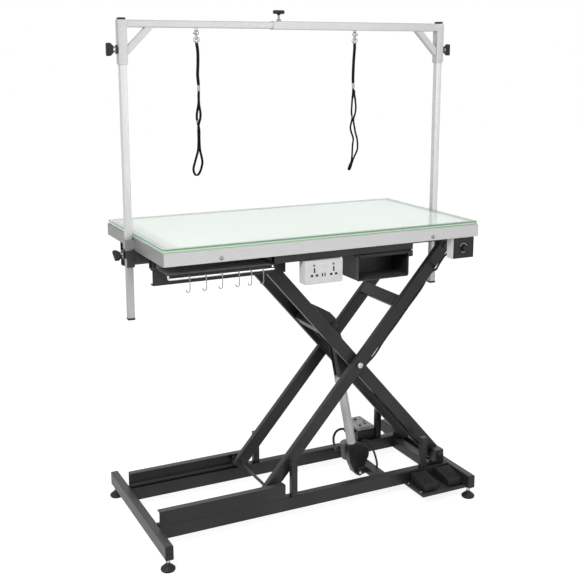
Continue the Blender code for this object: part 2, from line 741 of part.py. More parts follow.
# ---------------------------------------------------------------- scissor
def arm_frame(angle):
    """Turns a piece drawn along +X at the origin to lie along an arm through the middle pivot."""
    return Matrix.Translation(MIDDLE) @ Matrix.Rotation(-angle, 4, "Y")


def pin(name, x, z, y_from, y_to, radius=PIN_RADIUS, head_at_start=True):
    """Bolt across the table. Its round head is on the start side."""
    step = 1 if y_to > y_from else -1
    profile = [(y_from, radius), (y_to, radius)]
    if head_at_start:
        head = y_from - step * PIN_HEAD_HEIGHT
        profile = [
            (head, PIN_HEAD_RADIUS * 0.8),
            (head + step * 0.002, PIN_HEAD_RADIUS),
            (y_from, PIN_HEAD_RADIUS),
            (y_from, radius),
            (y_to, radius),
        ]
    return turned(name, profile, 16, (x, 0, z), "Y")


def arm_tube(name, face, angle):
    """Rectangular tube between its two end pivots, on the side nearest the user."""
    reach = ARM_LENGTH / 2 + ARM_OVERHANG
    centre = (-face + ARM_THICKNESS / 2, 0)
    tube = square_tube(name, ARM_THICKNESS, ARM_HEIGHT, centre, -reach, reach, "X")
    return turn(tube, arm_frame(angle))


def outer_arms():
    """Pair that rises to the right. Its pins turn in the blocks and in the inner arms."""
    face = -OUTER_ARM_FACE
    inner_side = face + ARM_THICKNESS
    front = arm_tube("outer_arm_front", OUTER_ARM_FACE, ARM_ANGLE)
    middle_pin = pin("middle_pin", MIDDLE.x, MIDDLE.z, face, inner_side + WASHER + ARM_THICKNESS - 0.003)
    top_pin = pin("top_pin", PIVOT_X, HIGH_AXIS_Z, face, inner_side + WASHER + 0.011)
    roller_pin = turned(
        "low_roller_pin",
        [(-ROLLER_OUTER, AXLE_RADIUS), (inner_side, AXLE_RADIUS)],
        16,
        (ROLLER_X, 0, LOW_AXIS_Z),
        "Y",
    )
    front = weld(front, middle_pin, top_pin, roller_pin)
    back = mirrored(front, "outer_arm_back", "Y")
    tie_height = ARM_HEIGHT / 2 - OUTER_TIE_THICKNESS / 2
    half = -inner_side - GAP
    centre = (OUTER_TIE_AT, tie_height)
    tie = square_tube("outer_arm_tie", OUTER_TIE_WIDTH, OUTER_TIE_THICKNESS, centre, -half, half, "Y")
    turn(tie, arm_frame(ARM_ANGLE))
    axle = turned(
        "lower_axle",
        [(inner_side + GAP, AXLE_RADIUS), (-inner_side - GAP, AXLE_RADIUS)],
        16,
        (ROLLER_X, 0, LOW_AXIS_Z),
        "Y",
    )
    for piece in (front, back, tie):
        finish(piece, "black_powder_coat")
    finish(axle, "zinc")
    return [front, back, tie, axle]


def inner_arms():
    """Pair that rises to the left, inside the outer pair."""
    face = -INNER_ARM_FACE
    inner_side = face + ARM_THICKNESS
    front = arm_tube("inner_arm_front", INNER_ARM_FACE, pi - ARM_ANGLE)
    hole_radius = PIN_RADIUS + RUNNING_GAP
    middle_hole = turned(
        "middle_hole",
        [(face - 0.01, hole_radius), (inner_side + 0.01, hole_radius)],
        16,
        (MIDDLE.x, 0, MIDDLE.z),
        "Y",
    )
    front = cut(front, middle_hole)
    low_pin = pin("low_pin", PIVOT_X, LOW_AXIS_Z, -RAIL_INNER - 0.012 - GAP, inner_side)
    roller_pin = turned(
        "high_roller_pin",
        [(-ROLLER_OUTER, AXLE_RADIUS), (inner_side, AXLE_RADIUS)],
        16,
        (ROLLER_X, 0, HIGH_AXIS_Z),
        "Y",
    )
    front = weld(front, low_pin, roller_pin)
    back = mirrored(front, "inner_arm_back", "Y")
    return [finish(front, "black_powder_coat"), finish(back, "black_powder_coat")]


def lift_top_place():
    """The lift's upper pivot, which the inner arms carry."""
    along = Vector((-cos(ARM_ANGLE), 0, sin(ARM_ANGLE)))
    above = Vector((sin(ARM_ANGLE), 0, cos(ARM_ANGLE)))
    return MIDDLE + along * LIFT_TOP_ALONG + above * LIFT_TOP_ABOVE


def lift_direction():
    low = Vector((LIFT_LOW_PIVOT[0], 0, LIFT_LOW_PIVOT[1]))
    return (lift_top_place() - low).normalized()


def lift_bracket():
    """Cross tube between the inner arms with two cheeks that straddle the lift rod."""
    along = Vector((-cos(ARM_ANGLE), 0, sin(ARM_ANGLE)))
    above = Vector((sin(ARM_ANGLE), 0, cos(ARM_ANGLE)))
    half = INNER_ARM_FACE - ARM_THICKNESS - GAP
    frame = Matrix.Translation(MIDDLE) @ Matrix(
        [
            (along.x, 0, above.x, 0),
            (0, 1, 0, 0),
            (along.z, 0, above.z, 0),
            (0, 0, 0, 1),
        ]
    )
    centre = (INNER_TIE_AT, 0)
    bracket = square_tube("lift_bracket", INNER_TIE_SIZE, INNER_TIE_SIZE, centre, -half, half, "Y")
    parts = []
    for number, side in enumerate((-1, 1)):
        near = side * CHEEK_INNER
        far = side * (CHEEK_INNER + CHEEK_THICKNESS)
        head = far + side * PIN_HEAD_HEIGHT
        parts.append(prism(f"cheek_{number}", CHEEK_OUTLINE, min(near, far), max(near, far), "Y"))
        profile = [
            (far - side * 0.001, PIN_HEAD_RADIUS),
            (head - side * 0.002, PIN_HEAD_RADIUS),
            (head, PIN_HEAD_RADIUS * 0.8),
        ]
        parts.append(turned(f"cheek_bolt_{number}", profile, 16, (LIFT_TOP_ALONG, 0, LIFT_TOP_ABOVE), "Y"))
    bracket = weld(bracket, *parts)
    turn(bracket, frame)
    if frame.determinant() < 0:
        bracket.data.flip_normals()
    return finish(bracket, "black_powder_coat")


def rollers():
    """Nylon wheels on the arms' stub axles, inside the four tracks."""
    made = []
    width = ROLLER_WIDTH
    bore = AXLE_RADIUS + RUNNING_GAP
    for level, z in (("lower", LOW_AXIS_Z), ("upper", HIGH_AXIS_Z)):
        for y_name, side in (("front", -1), ("back", 1)):
            name = f"roller_{level}_{y_name}"
            centre_y = side * (ROLLER_OUTER - width / 2)
            place = (ROLLER_X, centre_y, z)
            profile = [
                (-width / 2, ROLLER_RADIUS - 0.002),
                (-width / 2 + 0.002, ROLLER_RADIUS),
                (width / 2 - 0.002, ROLLER_RADIUS),
                (width / 2, ROLLER_RADIUS - 0.002),
            ]
            wheel = turned(name, profile, 28, place, "Y")
            hole = turned(f"{name}_bore", [(-width, bore), (width, bore)], 16, place, "Y")
            wheel = cut(wheel, hole)
            hang_on(axis_empty(f"{name}_axis", place), finish(wheel, "black_plastic"))
            made.append(wheel)
    return made


# ---------------------------------------------------------------- lift
def lift_frame():
    """Turns a piece drawn up +Z from the origin to stand on the lift's lower pivot."""
    direction = lift_direction()
    lean = atan2(direction.x, direction.z)
    low = Vector((LIFT_LOW_PIVOT[0], 0, LIFT_LOW_PIVOT[1]))
    return Matrix.Translation(low) @ Matrix.Rotation(lean, 4, "Y")


def lift_body():
    """Gearbox, motor and outer tube of the linear drive."""
    length = LIFT_GEARBOX_LENGTH
    bulge = Vector(LIFT_BULGE_AT)
    round_side = [
        (bulge.x + LIFT_BULGE_RADIUS * cos(t), bulge.y + LIFT_BULGE_RADIUS * sin(t))
        for t in [radians(a) for a in (-55, -35, -15, 5, 25, 45, 65)]
    ]
    outline = [
        (-0.012, -0.013),
        (0.010, -0.013),
        (0.020, -0.006),
        *round_side,
        (0.022, length),
        (-0.022, length),
        (-0.028, 0.095),
        (-0.030, 0.050),
        (-0.022, 0.012),
    ]
    half = LIFT_GEARBOX_DEPTH / 2
    gearbox = prism("lift_body", outline, -half, half, "Y")
    rounding = gearbox.modifiers.new("edge", "BEVEL")
    rounding.width = 0.004
    rounding.segments = 2
    rounding.limit_method = "ANGLE"
    rounding.angle_limit = radians(60)
    motor = turned(
        "lift_motor",
        [
            (0.0, LIFT_MOTOR_RADIUS * 0.8),
            (0.006, LIFT_MOTOR_RADIUS),
            (LIFT_MOTOR_LENGTH - 0.006, LIFT_MOTOR_RADIUS),
            (LIFT_MOTOR_LENGTH, LIFT_MOTOR_RADIUS * 0.8),
        ],
        20,
        (-0.006, half + LIFT_MOTOR_RADIUS - 0.004, 0.041),
    )
    tube = turned(
        "lift_tube",
        [
            (length - 0.004, LIFT_TUBE_RADIUS),
            (LIFT_TUBE_END, LIFT_TUBE_RADIUS),
        ],
        20,
        (0, 0, 0),
    )
    pivot = pin(
        "lift_low_pin",
        0,
        0,
        -CHEEK_INNER - CHEEK_THICKNESS - GAP,
        CHEEK_INNER + CHEEK_THICKNESS + 0.004,
        0.006,
    )
    body = weld(as_mesh(gearbox), motor, tube, pivot)
    bore_radius = LIFT_ROD_RADIUS + RUNNING_GAP
    bore_profile = [(length - 0.006, bore_radius), (LIFT_TUBE_END + 0.01, bore_radius)]
    bore = turned("rod_bore", bore_profile, 20, (0, 0, 0))
    body = cut(body, bore)
    turn(body, lift_frame())
    hinge = axis_empty("lift_hinge", (LIFT_LOW_PIVOT[0], 0, LIFT_LOW_PIVOT[1]))
    hang_on(hinge, finish(body, "grey_tube"))
    return body


def lift_rod():
    """Chrome rod with an eye, which slides out of the tube."""
    low = Vector((LIFT_LOW_PIVOT[0], 0, LIFT_LOW_PIVOT[1]))
    span = (lift_top_place() - low).length
    shaft = turned(
        "lift_rod",
        [(span - 0.320, LIFT_ROD_RADIUS - 0.001), (span - 0.318, LIFT_ROD_RADIUS), (span, LIFT_ROD_RADIUS)],
        20,
        (0, 0, 0),
    )
    eye = turned("rod_eye", [(-0.012, 0.015), (0.012, 0.015)], 20, (0, 0, span), "Y")
    reach = CHEEK_INNER - CHEEK_SIDE_GAP
    cross_pin = turned("rod_pin", [(-reach, PIN_RADIUS), (reach, PIN_RADIUS)], 16, (0, 0, span), "Y")
    piece = weld(shaft, eye, cross_pin)
    turn(piece, lift_frame())
    return finish(piece, "chrome")


# ---------------------------------------------------------------- table top
def glass_top():
    length = TABLE_LENGTH - 2 * GLASS_INSET
    width = TABLE_WIDTH - 2 * GLASS_INSET
    outline = rectangle(length, width, GLASS_CORNER_RADIUS, 5)
    glass = prism("glass_top", outline, TABLE_HEIGHT - GLASS_THICKNESS, TABLE_HEIGHT)
    arris = glass.modifiers.new("arris", "BEVEL")
    arris.width = 0.001
    arris.segments = 1
    arris.limit_method = "ANGLE"
    arris.angle_limit = radians(60)
    return finish(glass, "glass")


def table_frame():
    """Folded steel surround with a floor, a flange under the glass and a narrow lip at the top."""
    top = FRAME_BOTTOM + FRAME_DEPTH
    shoulder = top - FRAME_LIP_HEIGHT
    outline = rectangle(TABLE_LENGTH, TABLE_WIDTH, 0.002, 1)
    shell = prism("table_frame", outline, FRAME_BOTTOM, shoulder)
    inset = 2 * FRAME_LIP_INSET
    lip_outline = rectangle(TABLE_LENGTH - inset, TABLE_WIDTH - inset, 0.002, 1)
    lip = prism("frame_lip", lip_outline, shoulder - 0.001, top)
    holders = [post_holder(f"post_holder_{side}", side) for side in (-1, 1)]
    shell = weld(shell, lip, *holders)
    wall = 2 * (FRAME_WALL + FRAME_LIP_INSET)
    cavity = box(
        "frame_cavity",
        (-(TABLE_LENGTH - wall) / 2, (TABLE_LENGTH - wall) / 2),
        (-(TABLE_WIDTH - wall) / 2, (TABLE_WIDTH - wall) / 2),
        (FRAME_BOTTOM + FRAME_WALL, top - PANEL_THICKNESS - FRAME_WALL),
    )
    mouth_x, mouth_y = panel_half_sizes()
    mouth = box(
        "frame_mouth",
        (-mouth_x - GAP, mouth_x + GAP),
        (-mouth_y - GAP, mouth_y + GAP),
        (top - PANEL_THICKNESS - FRAME_WALL - 0.001, top + 0.01),
    )
    return finish(cut(shell, cavity, mouth), "stainless")


def post_holder(name, side):
    """Strap bent round three sides of a gate post, welded to the end of the frame."""
    room = POST_SIZE / 2 + RUNNING_GAP
    out = POST_X + room + HOLDER_WALL
    root = TABLE_LENGTH / 2 - 0.001
    outline = [
        (side * root, -room - HOLDER_WALL),
        (side * out, -room - HOLDER_WALL),
        (side * out, room + HOLDER_WALL),
        (side * root, room + HOLDER_WALL),
        (side * root, room),
        (side * (out - HOLDER_WALL), room),
        (side * (out - HOLDER_WALL), -room),
        (side * root, -room),
    ]
    return prism(name, outline, *HOLDER_Z)


def panel_half_sizes():
    rim = FRAME_LIP_INSET + FRAME_WALL + FRAME_FLANGE_WIDTH
    return TABLE_LENGTH / 2 - rim, TABLE_WIDTH / 2 - rim


def light_panel():
    """Diffuser of the lamp, set into the frame's mouth under the glass."""
    half_x, half_y = panel_half_sizes()
    top = FRAME_BOTTOM + FRAME_DEPTH
    panel = box("light_panel", (-half_x, half_x), (-half_y, half_y), (top - PANEL_THICKNESS, top - GAP))
    return finish(panel, "light_diffuser")


def subframe_rails():
    """Rails under the table, each with its track and the block for an outer arm's top pin."""
    front = rail("subframe_rail_front", (HIGH_TRACK_TOP, FRAME_BOTTOM - GAP), HIGH_AXIS_Z)
    inner_y = (-OUTER_ARM_FACE + ARM_THICKNESS + WASHER, -OUTER_ARM_FACE + ARM_THICKNESS + WASHER + 0.012)
    x = (PIVOT_X - 0.025, RAIL_END - 0.0017)
    shelf_bottom = HIGH_AXIS_Z + hypot(ARM_HEIGHT / 2, ARM_OVERHANG) + 0.005
    shelf = box("pivot_shelf", x, (-RAIL_OUTER + 0.010, inner_y[1]), (shelf_bottom, FRAME_BOTTOM - GAP))
    block = bored_block("pivot_plate", x, inner_y, (HIGH_AXIS_Z - 0.025, shelf_bottom + 0.001), HIGH_AXIS_Z)
    front = weld(front, shelf, block)
    back = mirrored(front, "subframe_rail_back", "Y")
    return [finish(front, "black_powder_coat"), finish(back, "black_powder_coat")]


def accessory_bar():
    """Tube under the front edge that carries the fittings, with a tool shelf on its left."""
    y = (BAR_FRONT, BAR_FRONT + BAR_WIDTH)
    z = (BAR_BOTTOM, BAR_BOTTOM + BAR_HEIGHT)
    centre = ((y[0] + y[1]) / 2, (z[0] + z[1]) / 2)
    bar = square_tube("accessory_bar", BAR_WIDTH, BAR_HEIGHT, centre, BAR_START, BAR_END, "X", 0.002)
    shelf_profile = [
        (BAR_FRONT, BAR_BOTTOM - SHELF_THICKNESS),
        (SHELF_BACK, BAR_BOTTOM - SHELF_THICKNESS),
        (SHELF_BACK, FRAME_BOTTOM - GAP),
        (SHELF_BACK - SHELF_THICKNESS, FRAME_BOTTOM - GAP),
        (SHELF_BACK - SHELF_THICKNESS, BAR_BOTTOM + 0.0005),
        (BAR_FRONT, BAR_BOTTOM + 0.0005),
    ]
    shelf = prism("tool_shelf", shelf_profile, SHELF_START, BAR_START + SHELF_LAP, "X")
    return finish(weld(bar, shelf), "black_powder_coat")


def arc_points(centre, radius, start, end, steps, plane="YZ"):
    """Points on an arc, from one angle to another, in radians."""
    points = []
    for k in range(steps + 1):
        t = start + (end - start) * k / steps
        a, b = radius * cos(t), radius * sin(t)
        offset = {"YZ": (0, a, b), "XZ": (a, 0, b), "XY": (a, b, 0)}[plane]
        points.append(Vector(centre) + Vector(offset))
    return points


def hook_rail():
    """Chrome rail in front of the shelf. Its ends turn back to the shelf's edge."""
    left, right = HOOK_RAIL_X
    foot_y = BAR_FRONT + 0.008
    foot_z = BAR_BOTTOM - SHELF_THICKNESS - GAP
    corners = [
        (left, foot_y, foot_z),
        (left, foot_y, HOOK_RAIL_Z - 0.002),
        (left, HOOK_RAIL_Y, HOOK_RAIL_Z),
        (right, HOOK_RAIL_Y, HOOK_RAIL_Z),
        (right, foot_y, HOOK_RAIL_Z - 0.002),
        (right, foot_y, foot_z),
    ]
    return finish(swept("hook_rail", rounded_path(corners, 0.006), HOOK_RAIL_RADIUS, 12), "chrome")


def s_hooks():
    """Six wire hooks with a quarter twist, hung over the rail."""
    made = []
    loop = HOOK_RAIL_RADIUS + RUNNING_GAP + HOOK_WIRE_RADIUS
    small = 0.0065
    for number, x in enumerate(HOOK_X, 1):
        top = Vector((x, HOOK_RAIL_Y, HOOK_RAIL_Z))
        over = arc_points(top, loop, radians(-60), radians(180), 9)
        shank_end = top + Vector((0, -loop, -HOOK_DROP + small + loop))
        shank = [shank_end + Vector((0, 0, 0.006)), shank_end]
        foot_centre = shank_end + Vector((-small, 0, 0))
        under = arc_points(foot_centre, small, 0, radians(-200), 7, "XZ")[1:]
        name = f"s_hook_{number}"
        hook = swept(name, [*over, *shank, *under], HOOK_WIRE_RADIUS)
        hang_on(axis_empty(f"{name}_axis", top), finish(hook, "chrome"))
        made.append(hook)
    return made


def socket_box():
    """Twin outlet housing with a bevelled face and its sockets sunk in."""
    z = (BAR_BOTTOM - GAP - SOCKET_HEIGHT, BAR_BOTTOM - GAP)
    piece = box("socket_box", SOCKET_X, SOCKET_Y, z)
    edge = piece.modifiers.new("edge", "BEVEL")
    edge.width = 0.003
    edge.segments = 2
    piece = as_mesh(piece)
    cutters = []
    middle_z = (z[0] + z[1]) / 2
    face = SOCKET_Y[0]
    middle_x = (SOCKET_X[0] + SOCKET_X[1]) / 2
    for number, x in enumerate((middle_x - SOCKET_SPACING / 2, middle_x + SOCKET_SPACING / 2)):
        pins = [(0, 0.012, 0.005, 0.010), (-0.011, -0.011, 0.008, 0.005), (0.011, -0.011, 0.008, 0.005)]
        for hole, (dx, dz, width, height) in enumerate(pins):
            cutters.append(
                box(
                    f"pin_{number}_{hole}",
                    (x + dx - width / 2, x + dx + width / 2),
                    (face - 0.01, face + 0.010),
                    (middle_z + dz - height / 2, middle_z + dz + height / 2),
                )
            )
    return finish(cut(piece, *cutters), "white_plastic")


def storage_bin():
    """Open-fronted box of thin sheet under the bar, with a turned lip along its floor."""
    z = (BAR_BOTTOM - GAP - BIN_HEIGHT, BAR_BOTTOM - GAP)
    middle = ((BIN_X[0] + BIN_X[1]) / 2, (z[0] + z[1]) / 2)
    outline = rectangle(BIN_WIDTH, BIN_HEIGHT, 0.006, 3, middle)
    body = prism("storage_bin", outline, BIN_Y[0], BIN_Y[1], "Y")
    inner_outline = rectangle(BIN_WIDTH - 2 * BIN_WALL, BIN_HEIGHT - 2 * BIN_WALL, 0.004, 3, middle)
    hollow = prism("bin_hollow", inner_outline, BIN_Y[0] - 0.01, BIN_Y[1] - BIN_WALL, "Y")
    return finish(cut(body, hollow), "black_powder_coat")


def dimmer_box():
    """Control housing at the right end. Its face plate stands a little proud."""
    z = (FRAME_BOTTOM - GAP - DIMMER_HEIGHT, FRAME_BOTTOM - GAP)
    body = box("dimmer_box", DIMMER_X, (DIMMER_Y[0] + 0.003, DIMMER_Y[1]), z)
    plate_inset = 0.001
    plate = box(
        "dimmer_plate",
        (DIMMER_X[0] + plate_inset, DIMMER_X[1] - plate_inset),
        (DIMMER_Y[0], DIMMER_Y[0] + 0.004),
        (z[0] + plate_inset, z[1] - plate_inset),
    )
    return finish(weld(body, plate), "stainless")


def dimmer_dial():
    """Round knob with a pointer rib."""
    x = (DIMMER_X[0] + DIMMER_X[1]) / 2
    z = FRAME_BOTTOM - GAP - DIMMER_HEIGHT / 2
    place = (x, DIMMER_Y[0] - GAP, z)
    dial = turned(
        "dimmer_dial",
        [
            (0, DIAL_RADIUS),
            (-0.003, DIAL_RADIUS),
            (-0.004, DIAL_RADIUS * 0.85),
            (-DIAL_LENGTH + 0.001, DIAL_RADIUS * 0.8),
            (-DIAL_LENGTH, DIAL_RADIUS * 0.7),
        ],
        24,
        place,
        "Y",
    )
    rib = box(
        "dial_rib",
        (x - 0.0016, x + 0.0016),
        (place[1] - DIAL_LENGTH - 0.001, place[1] - 0.004),
        (z - DIAL_RADIUS * 0.75, z + DIAL_RADIUS * 0.98),
    )
    dial = weld(dial, rib)
    hang_on(axis_empty("dimmer_axis", place), finish(dial, "black_plastic"))
    return dial


# ---------------------------------------------------------------- gate
def knob(name, place, side, roll):
    """Wing knob on a clamp screw. The screw's point is at place and roll turns the wing."""
    nut_end = KNOB_NUT_AT + KNOB_NUT_LENGTH / 2
    profile = [
        (0.0, KNOB_SHAFT_RADIUS),
        (KNOB_NUT_AT, KNOB_SHAFT_RADIUS),
        (KNOB_NUT_AT, KNOB_NUT_RADIUS),
        (nut_end, KNOB_NUT_RADIUS),
        (nut_end, KNOB_SHAFT_RADIUS),
        (KNOB_LENGTH - 0.010, KNOB_SHAFT_RADIUS),
    ]
    screw = turned(name, profile, 16, (0, 0, 0), "X")
    half = KNOB_WIDTH / 2
    root = KNOB_LENGTH - 0.030
    outline = [
        (root, -0.006),
        (root + 0.012, -half + 0.004),
        (root + 0.016, -half),
        (KNOB_LENGTH - 0.003, -half),
        (KNOB_LENGTH, -half + 0.003),
        (KNOB_LENGTH, half - 0.003),
        (KNOB_LENGTH - 0.003, half),
        (root + 0.016, half),
        (root + 0.012, half - 0.004),
        (root, 0.006),
    ]
    wing = prism(f"{name}_wing", outline, -KNOB_THICKNESS / 2, KNOB_THICKNESS / 2, "Y")
    edge = wing.modifiers.new("edge", "BEVEL")
    edge.width = 0.0025
    edge.segments = 1
    edge.limit_method = "ANGLE"
    edge.angle_limit = radians(60)
    piece = weld(screw, as_mesh(wing))
    facing = Matrix.Rotation(0 if side > 0 else pi, 4, "Z")
    turn(piece, Matrix.Translation(place) @ facing @ Matrix.Rotation(roll, 4, "X"))
    hang_on(axis_empty(f"{name}_axis", place), finish(piece, "black_plastic"))
    return piece


def gate_posts():
    made = []
    for name, side in (("gate_post_left", -1), ("gate_post_right", 1)):
        tube = square_tube(
            name, POST_SIZE, POST_SIZE, (side * POST_X, 0), POST_BOTTOM, POST_TOP, "Z", POST_WALL
        )
        made.append(finish(tube, "gate_steel"))
    return made


def clamps():
    """Sleeves at the ends of the table that hold the posts, each on a tube under the frame."""
    made = []
    top = FRAME_BOTTOM - GAP
    for name, side in (("clamp_left", -1), ("clamp_right", 1)):
        hole = POST_SIZE + 2 * RUNNING_GAP
        outer = rectangle(CLAMP_SIZE, CLAMP_SIZE, 0.003, 2, (side * POST_X, 0))
        inner = rectangle(hole, hole, 0.0015, 2, (side * POST_X, 0))
        sleeve = prism(name, outer, top - CLAMP_HEIGHT, top, "Z", inner)
        inner_end = POST_X - hole / 2 - CLAMP_WALL / 2
        ends = sorted((side * inner_end, side * (POST_X - CLAMP_ARM_LENGTH)))
        arm_height = CLAMP_HEIGHT - 0.010
        outline = rectangle(CLAMP_ARM_WIDTH, arm_height, TUBE_CORNER, centre=(0, top - arm_height / 2))
        arm = prism(f"{name}_arm", outline, ends[0], ends[1], "X")
        piece = weld(sleeve, arm)
        window = box(
            f"{name}_window",
            sorted((side * (POST_X + hole / 2 - 0.001), side * (POST_X + CLAMP_SIZE))),
            (-CLAMP_SIZE, CLAMP_SIZE),
            (top - CLAMP_HEIGHT - 0.01, CLAMP_KNOB_Z - 0.012),
        )
        thread_place = (side * (POST_X + POST_SIZE / 2), 0, CLAMP_KNOB_Z)
        thread = turned(
            f"{name}_thread",
            [(0, KNOB_SHAFT_RADIUS + RUNNING_GAP), (side * 0.012, KNOB_SHAFT_RADIUS + RUNNING_GAP)],
            16,
            thread_place,
            "X",
        )
        made.append(finish(cut(piece, thread, window), "black_powder_coat"))
        knob_start = (side * (POST_X + POST_SIZE / 2 + GAP), 0, CLAMP_KNOB_Z)
        made.append(knob(name.replace("clamp", "clamp_knob"), knob_start, side, radians(55)))
    return made


def eye(name, x):
    """Welded wire eye under the crossbar, from which a noose hangs."""
    ring = arc_points((x, 0, EYE_Z), EYE_RADIUS, radians(150), radians(390), 10, "XZ")
    lead = Vector((0, 0, 0.006))
    return swept(name, [ring[0] + lead, *ring, ring[-1] + lead], EYE_WIRE_RADIUS)


def crossbar_half(name, side, bar, extras):
    """Corner sleeve, capped at the top, with its half of the crossbar and a diagonal brace."""
    hole = POST_SIZE + 2 * RUNNING_GAP
    outer = rectangle(SLEEVE_SIZE, SLEEVE_SIZE, 0.003, 2, (side * POST_X, 0))
    sleeve = prism(f"{name}_sleeve", outer, SLEEVE_BOTTOM, SLEEVE_TOP)
    bore_outline = rectangle(hole, hole, 0.001, 1, (side * POST_X, 0))
    bore = prism(f"{name}_bore", bore_outline, SLEEVE_BOTTOM - 0.01, SLEEVE_TOP - SLEEVE_CAP)
    thread = turned(
        f"{name}_thread",
        [(0, KNOB_SHAFT_RADIUS + RUNNING_GAP), (side * 0.012, KNOB_SHAFT_RADIUS + RUNNING_GAP)],
        16,
        (side * (POST_X + POST_SIZE / 2), 0, SLEEVE_KNOB_Z),
        "X",
    )
    sleeve = cut(sleeve, bore, thread)
    inner_face = POST_X - SLEEVE_SIZE / 2
    low_z = CROSSBAR_AXIS_Z - bar / 2
    half = BRACE_SIZE * 0.7071
    corner_x = inner_face + 0.001
    brace_outline = [
        (side * (inner_face - BRACE_REACH + half), low_z + 0.001),
        (side * (inner_face - BRACE_REACH - half), low_z + 0.001),
        (side * corner_x, low_z - BRACE_REACH - half),
        (side * corner_x, low_z - BRACE_REACH + half),
    ]
    brace = prism(f"{name}_brace", brace_outline, -BRACE_SIZE / 2, BRACE_SIZE / 2, "Y")
    return weld(sleeve, brace, *extras)


def crossbar():
    """Two halves: the left bar slides inside the right one, and a tee knob locks them."""
    inner_end = CROSSBAR_SPLIT_X + CROSSBAR_LAP
    start = -(POST_X - SLEEVE_SIZE / 2) - 0.001
    left_bar = square_tube(
        "left_bar",
        CROSSBAR_INNER_SIZE,
        CROSSBAR_INNER_SIZE,
        (0, CROSSBAR_AXIS_Z),
        start,
        inner_end,
        "X",
        POST_WALL,
    )
    left = crossbar_half("crossbar_left", -1, CROSSBAR_INNER_SIZE, [left_bar])
    left.name = "crossbar_left"
    left = weld(left, eye("left_eye", NOOSE_X[0]))
    hole = CROSSBAR_INNER_SIZE + 2 * RUNNING_GAP
    right_bar = prism(
        "right_bar",
        rectangle(CROSSBAR_OUTER_SIZE, CROSSBAR_OUTER_SIZE, 0.003, 2, (0, CROSSBAR_AXIS_Z)),
        CROSSBAR_SPLIT_X,
        -start,
        "X",
        rectangle(hole, hole, 0.001, 2, (0, CROSSBAR_AXIS_Z)),
    )
    right = crossbar_half("crossbar_right", 1, CROSSBAR_OUTER_SIZE, [right_bar])
    right.name = "crossbar_right"
    drop = (CROSSBAR_OUTER_SIZE - CROSSBAR_INNER_SIZE) / 2
    right_eye = eye("right_eye", NOOSE_X[1])
    thread = turned(
        "tee_thread",
        [(-0.002, KNOB_SHAFT_RADIUS + RUNNING_GAP), (0.01, KNOB_SHAFT_RADIUS + RUNNING_GAP)],
        16,
        (TEE_KNOB_X, 0, CROSSBAR_TOP - drop),
    )
    right = cut(weld(right, right_eye), thread)
    return [finish(left, "gate_steel"), finish(right, "gate_steel")]


def sleeve_knobs():
    made = []
    for name, side in (("sleeve_knob_left", -1), ("sleeve_knob_right", 1)):
        place = (side * (POST_X + POST_SIZE / 2 + GAP), 0, SLEEVE_KNOB_Z)
        made.append(knob(name, place, side, 0))
    return made


def tee_knob():
    """Tee-handled screw that locks the two halves of the crossbar."""
    inner_top = CROSSBAR_AXIS_Z + CROSSBAR_INNER_SIZE / 2 + GAP
    place = (TEE_KNOB_X, 0, inner_top)
    reach = CROSSBAR_TOP - inner_top + GAP
    handle_at = reach + 0.032
    stem = turned(
        "tee_knob",
        [
            (0, KNOB_SHAFT_RADIUS),
            (reach, KNOB_SHAFT_RADIUS),
            (reach, KNOB_NUT_RADIUS),
            (reach + KNOB_NUT_LENGTH, KNOB_NUT_RADIUS),
            (reach + KNOB_NUT_LENGTH, KNOB_SHAFT_RADIUS),
            (handle_at - 0.012, KNOB_SHAFT_RADIUS),
            (handle_at - 0.004, 0.010),
        ],
        16,
        place,
    )
    end = TEE_KNOB_WIDTH / 2
    thick = TEE_KNOB_HEIGHT / 2
    handle = turned(
        "tee_handle",
        [
            (-end, thick * 0.6),
            (-end + 0.003, thick),
            (0, thick),
            (end - 0.003, thick),
            (end, thick * 0.6),
        ],
        16,
        (TEE_KNOB_X, 0, inner_top + handle_at),
        "X",
    )
    piece = weld(stem, handle)
    hang_on(axis_empty("tee_knob_axis", place), finish(piece, "black_plastic"))
    return piece


# ---------------------------------------------------------------- nooses and cables
def smooth_route(points, spacing):
    """Even points on the smooth curve (Catmull-Rom) through a hand-placed route."""
    spots = [Vector(p) for p in points]
    ends = [2 * spots[0] - spots[1], *spots, 2 * spots[-1] - spots[-2]]
    fine = []
    for a, b, c, d in zip(ends, ends[1:], ends[2:], ends[3:]):
        for k in range(24):
            t = k / 24
            fine.append(
                0.5
                * (
                    2 * b
                    + (c - a) * t
                    + (2 * a - 5 * b + 4 * c - d) * t * t
                    + (3 * b - a - 3 * c + d) * t * t * t
                )
            )
    fine.append(spots[-1])
    lengths = [0.0]
    for before, after in zip(fine, fine[1:]):
        lengths.append(lengths[-1] + (after - before).length)
    count = max(2, round(lengths[-1] / spacing))
    even = []
    at = 0
    for k in range(count + 1):
        goal = lengths[-1] * k / count
        while at < len(lengths) - 2 and lengths[at + 1] < goal:
            at += 1
        share = (goal - lengths[at]) / (lengths[at + 1] - lengths[at])
        even.append(fine[at].lerp(fine[at + 1], share))
    return even


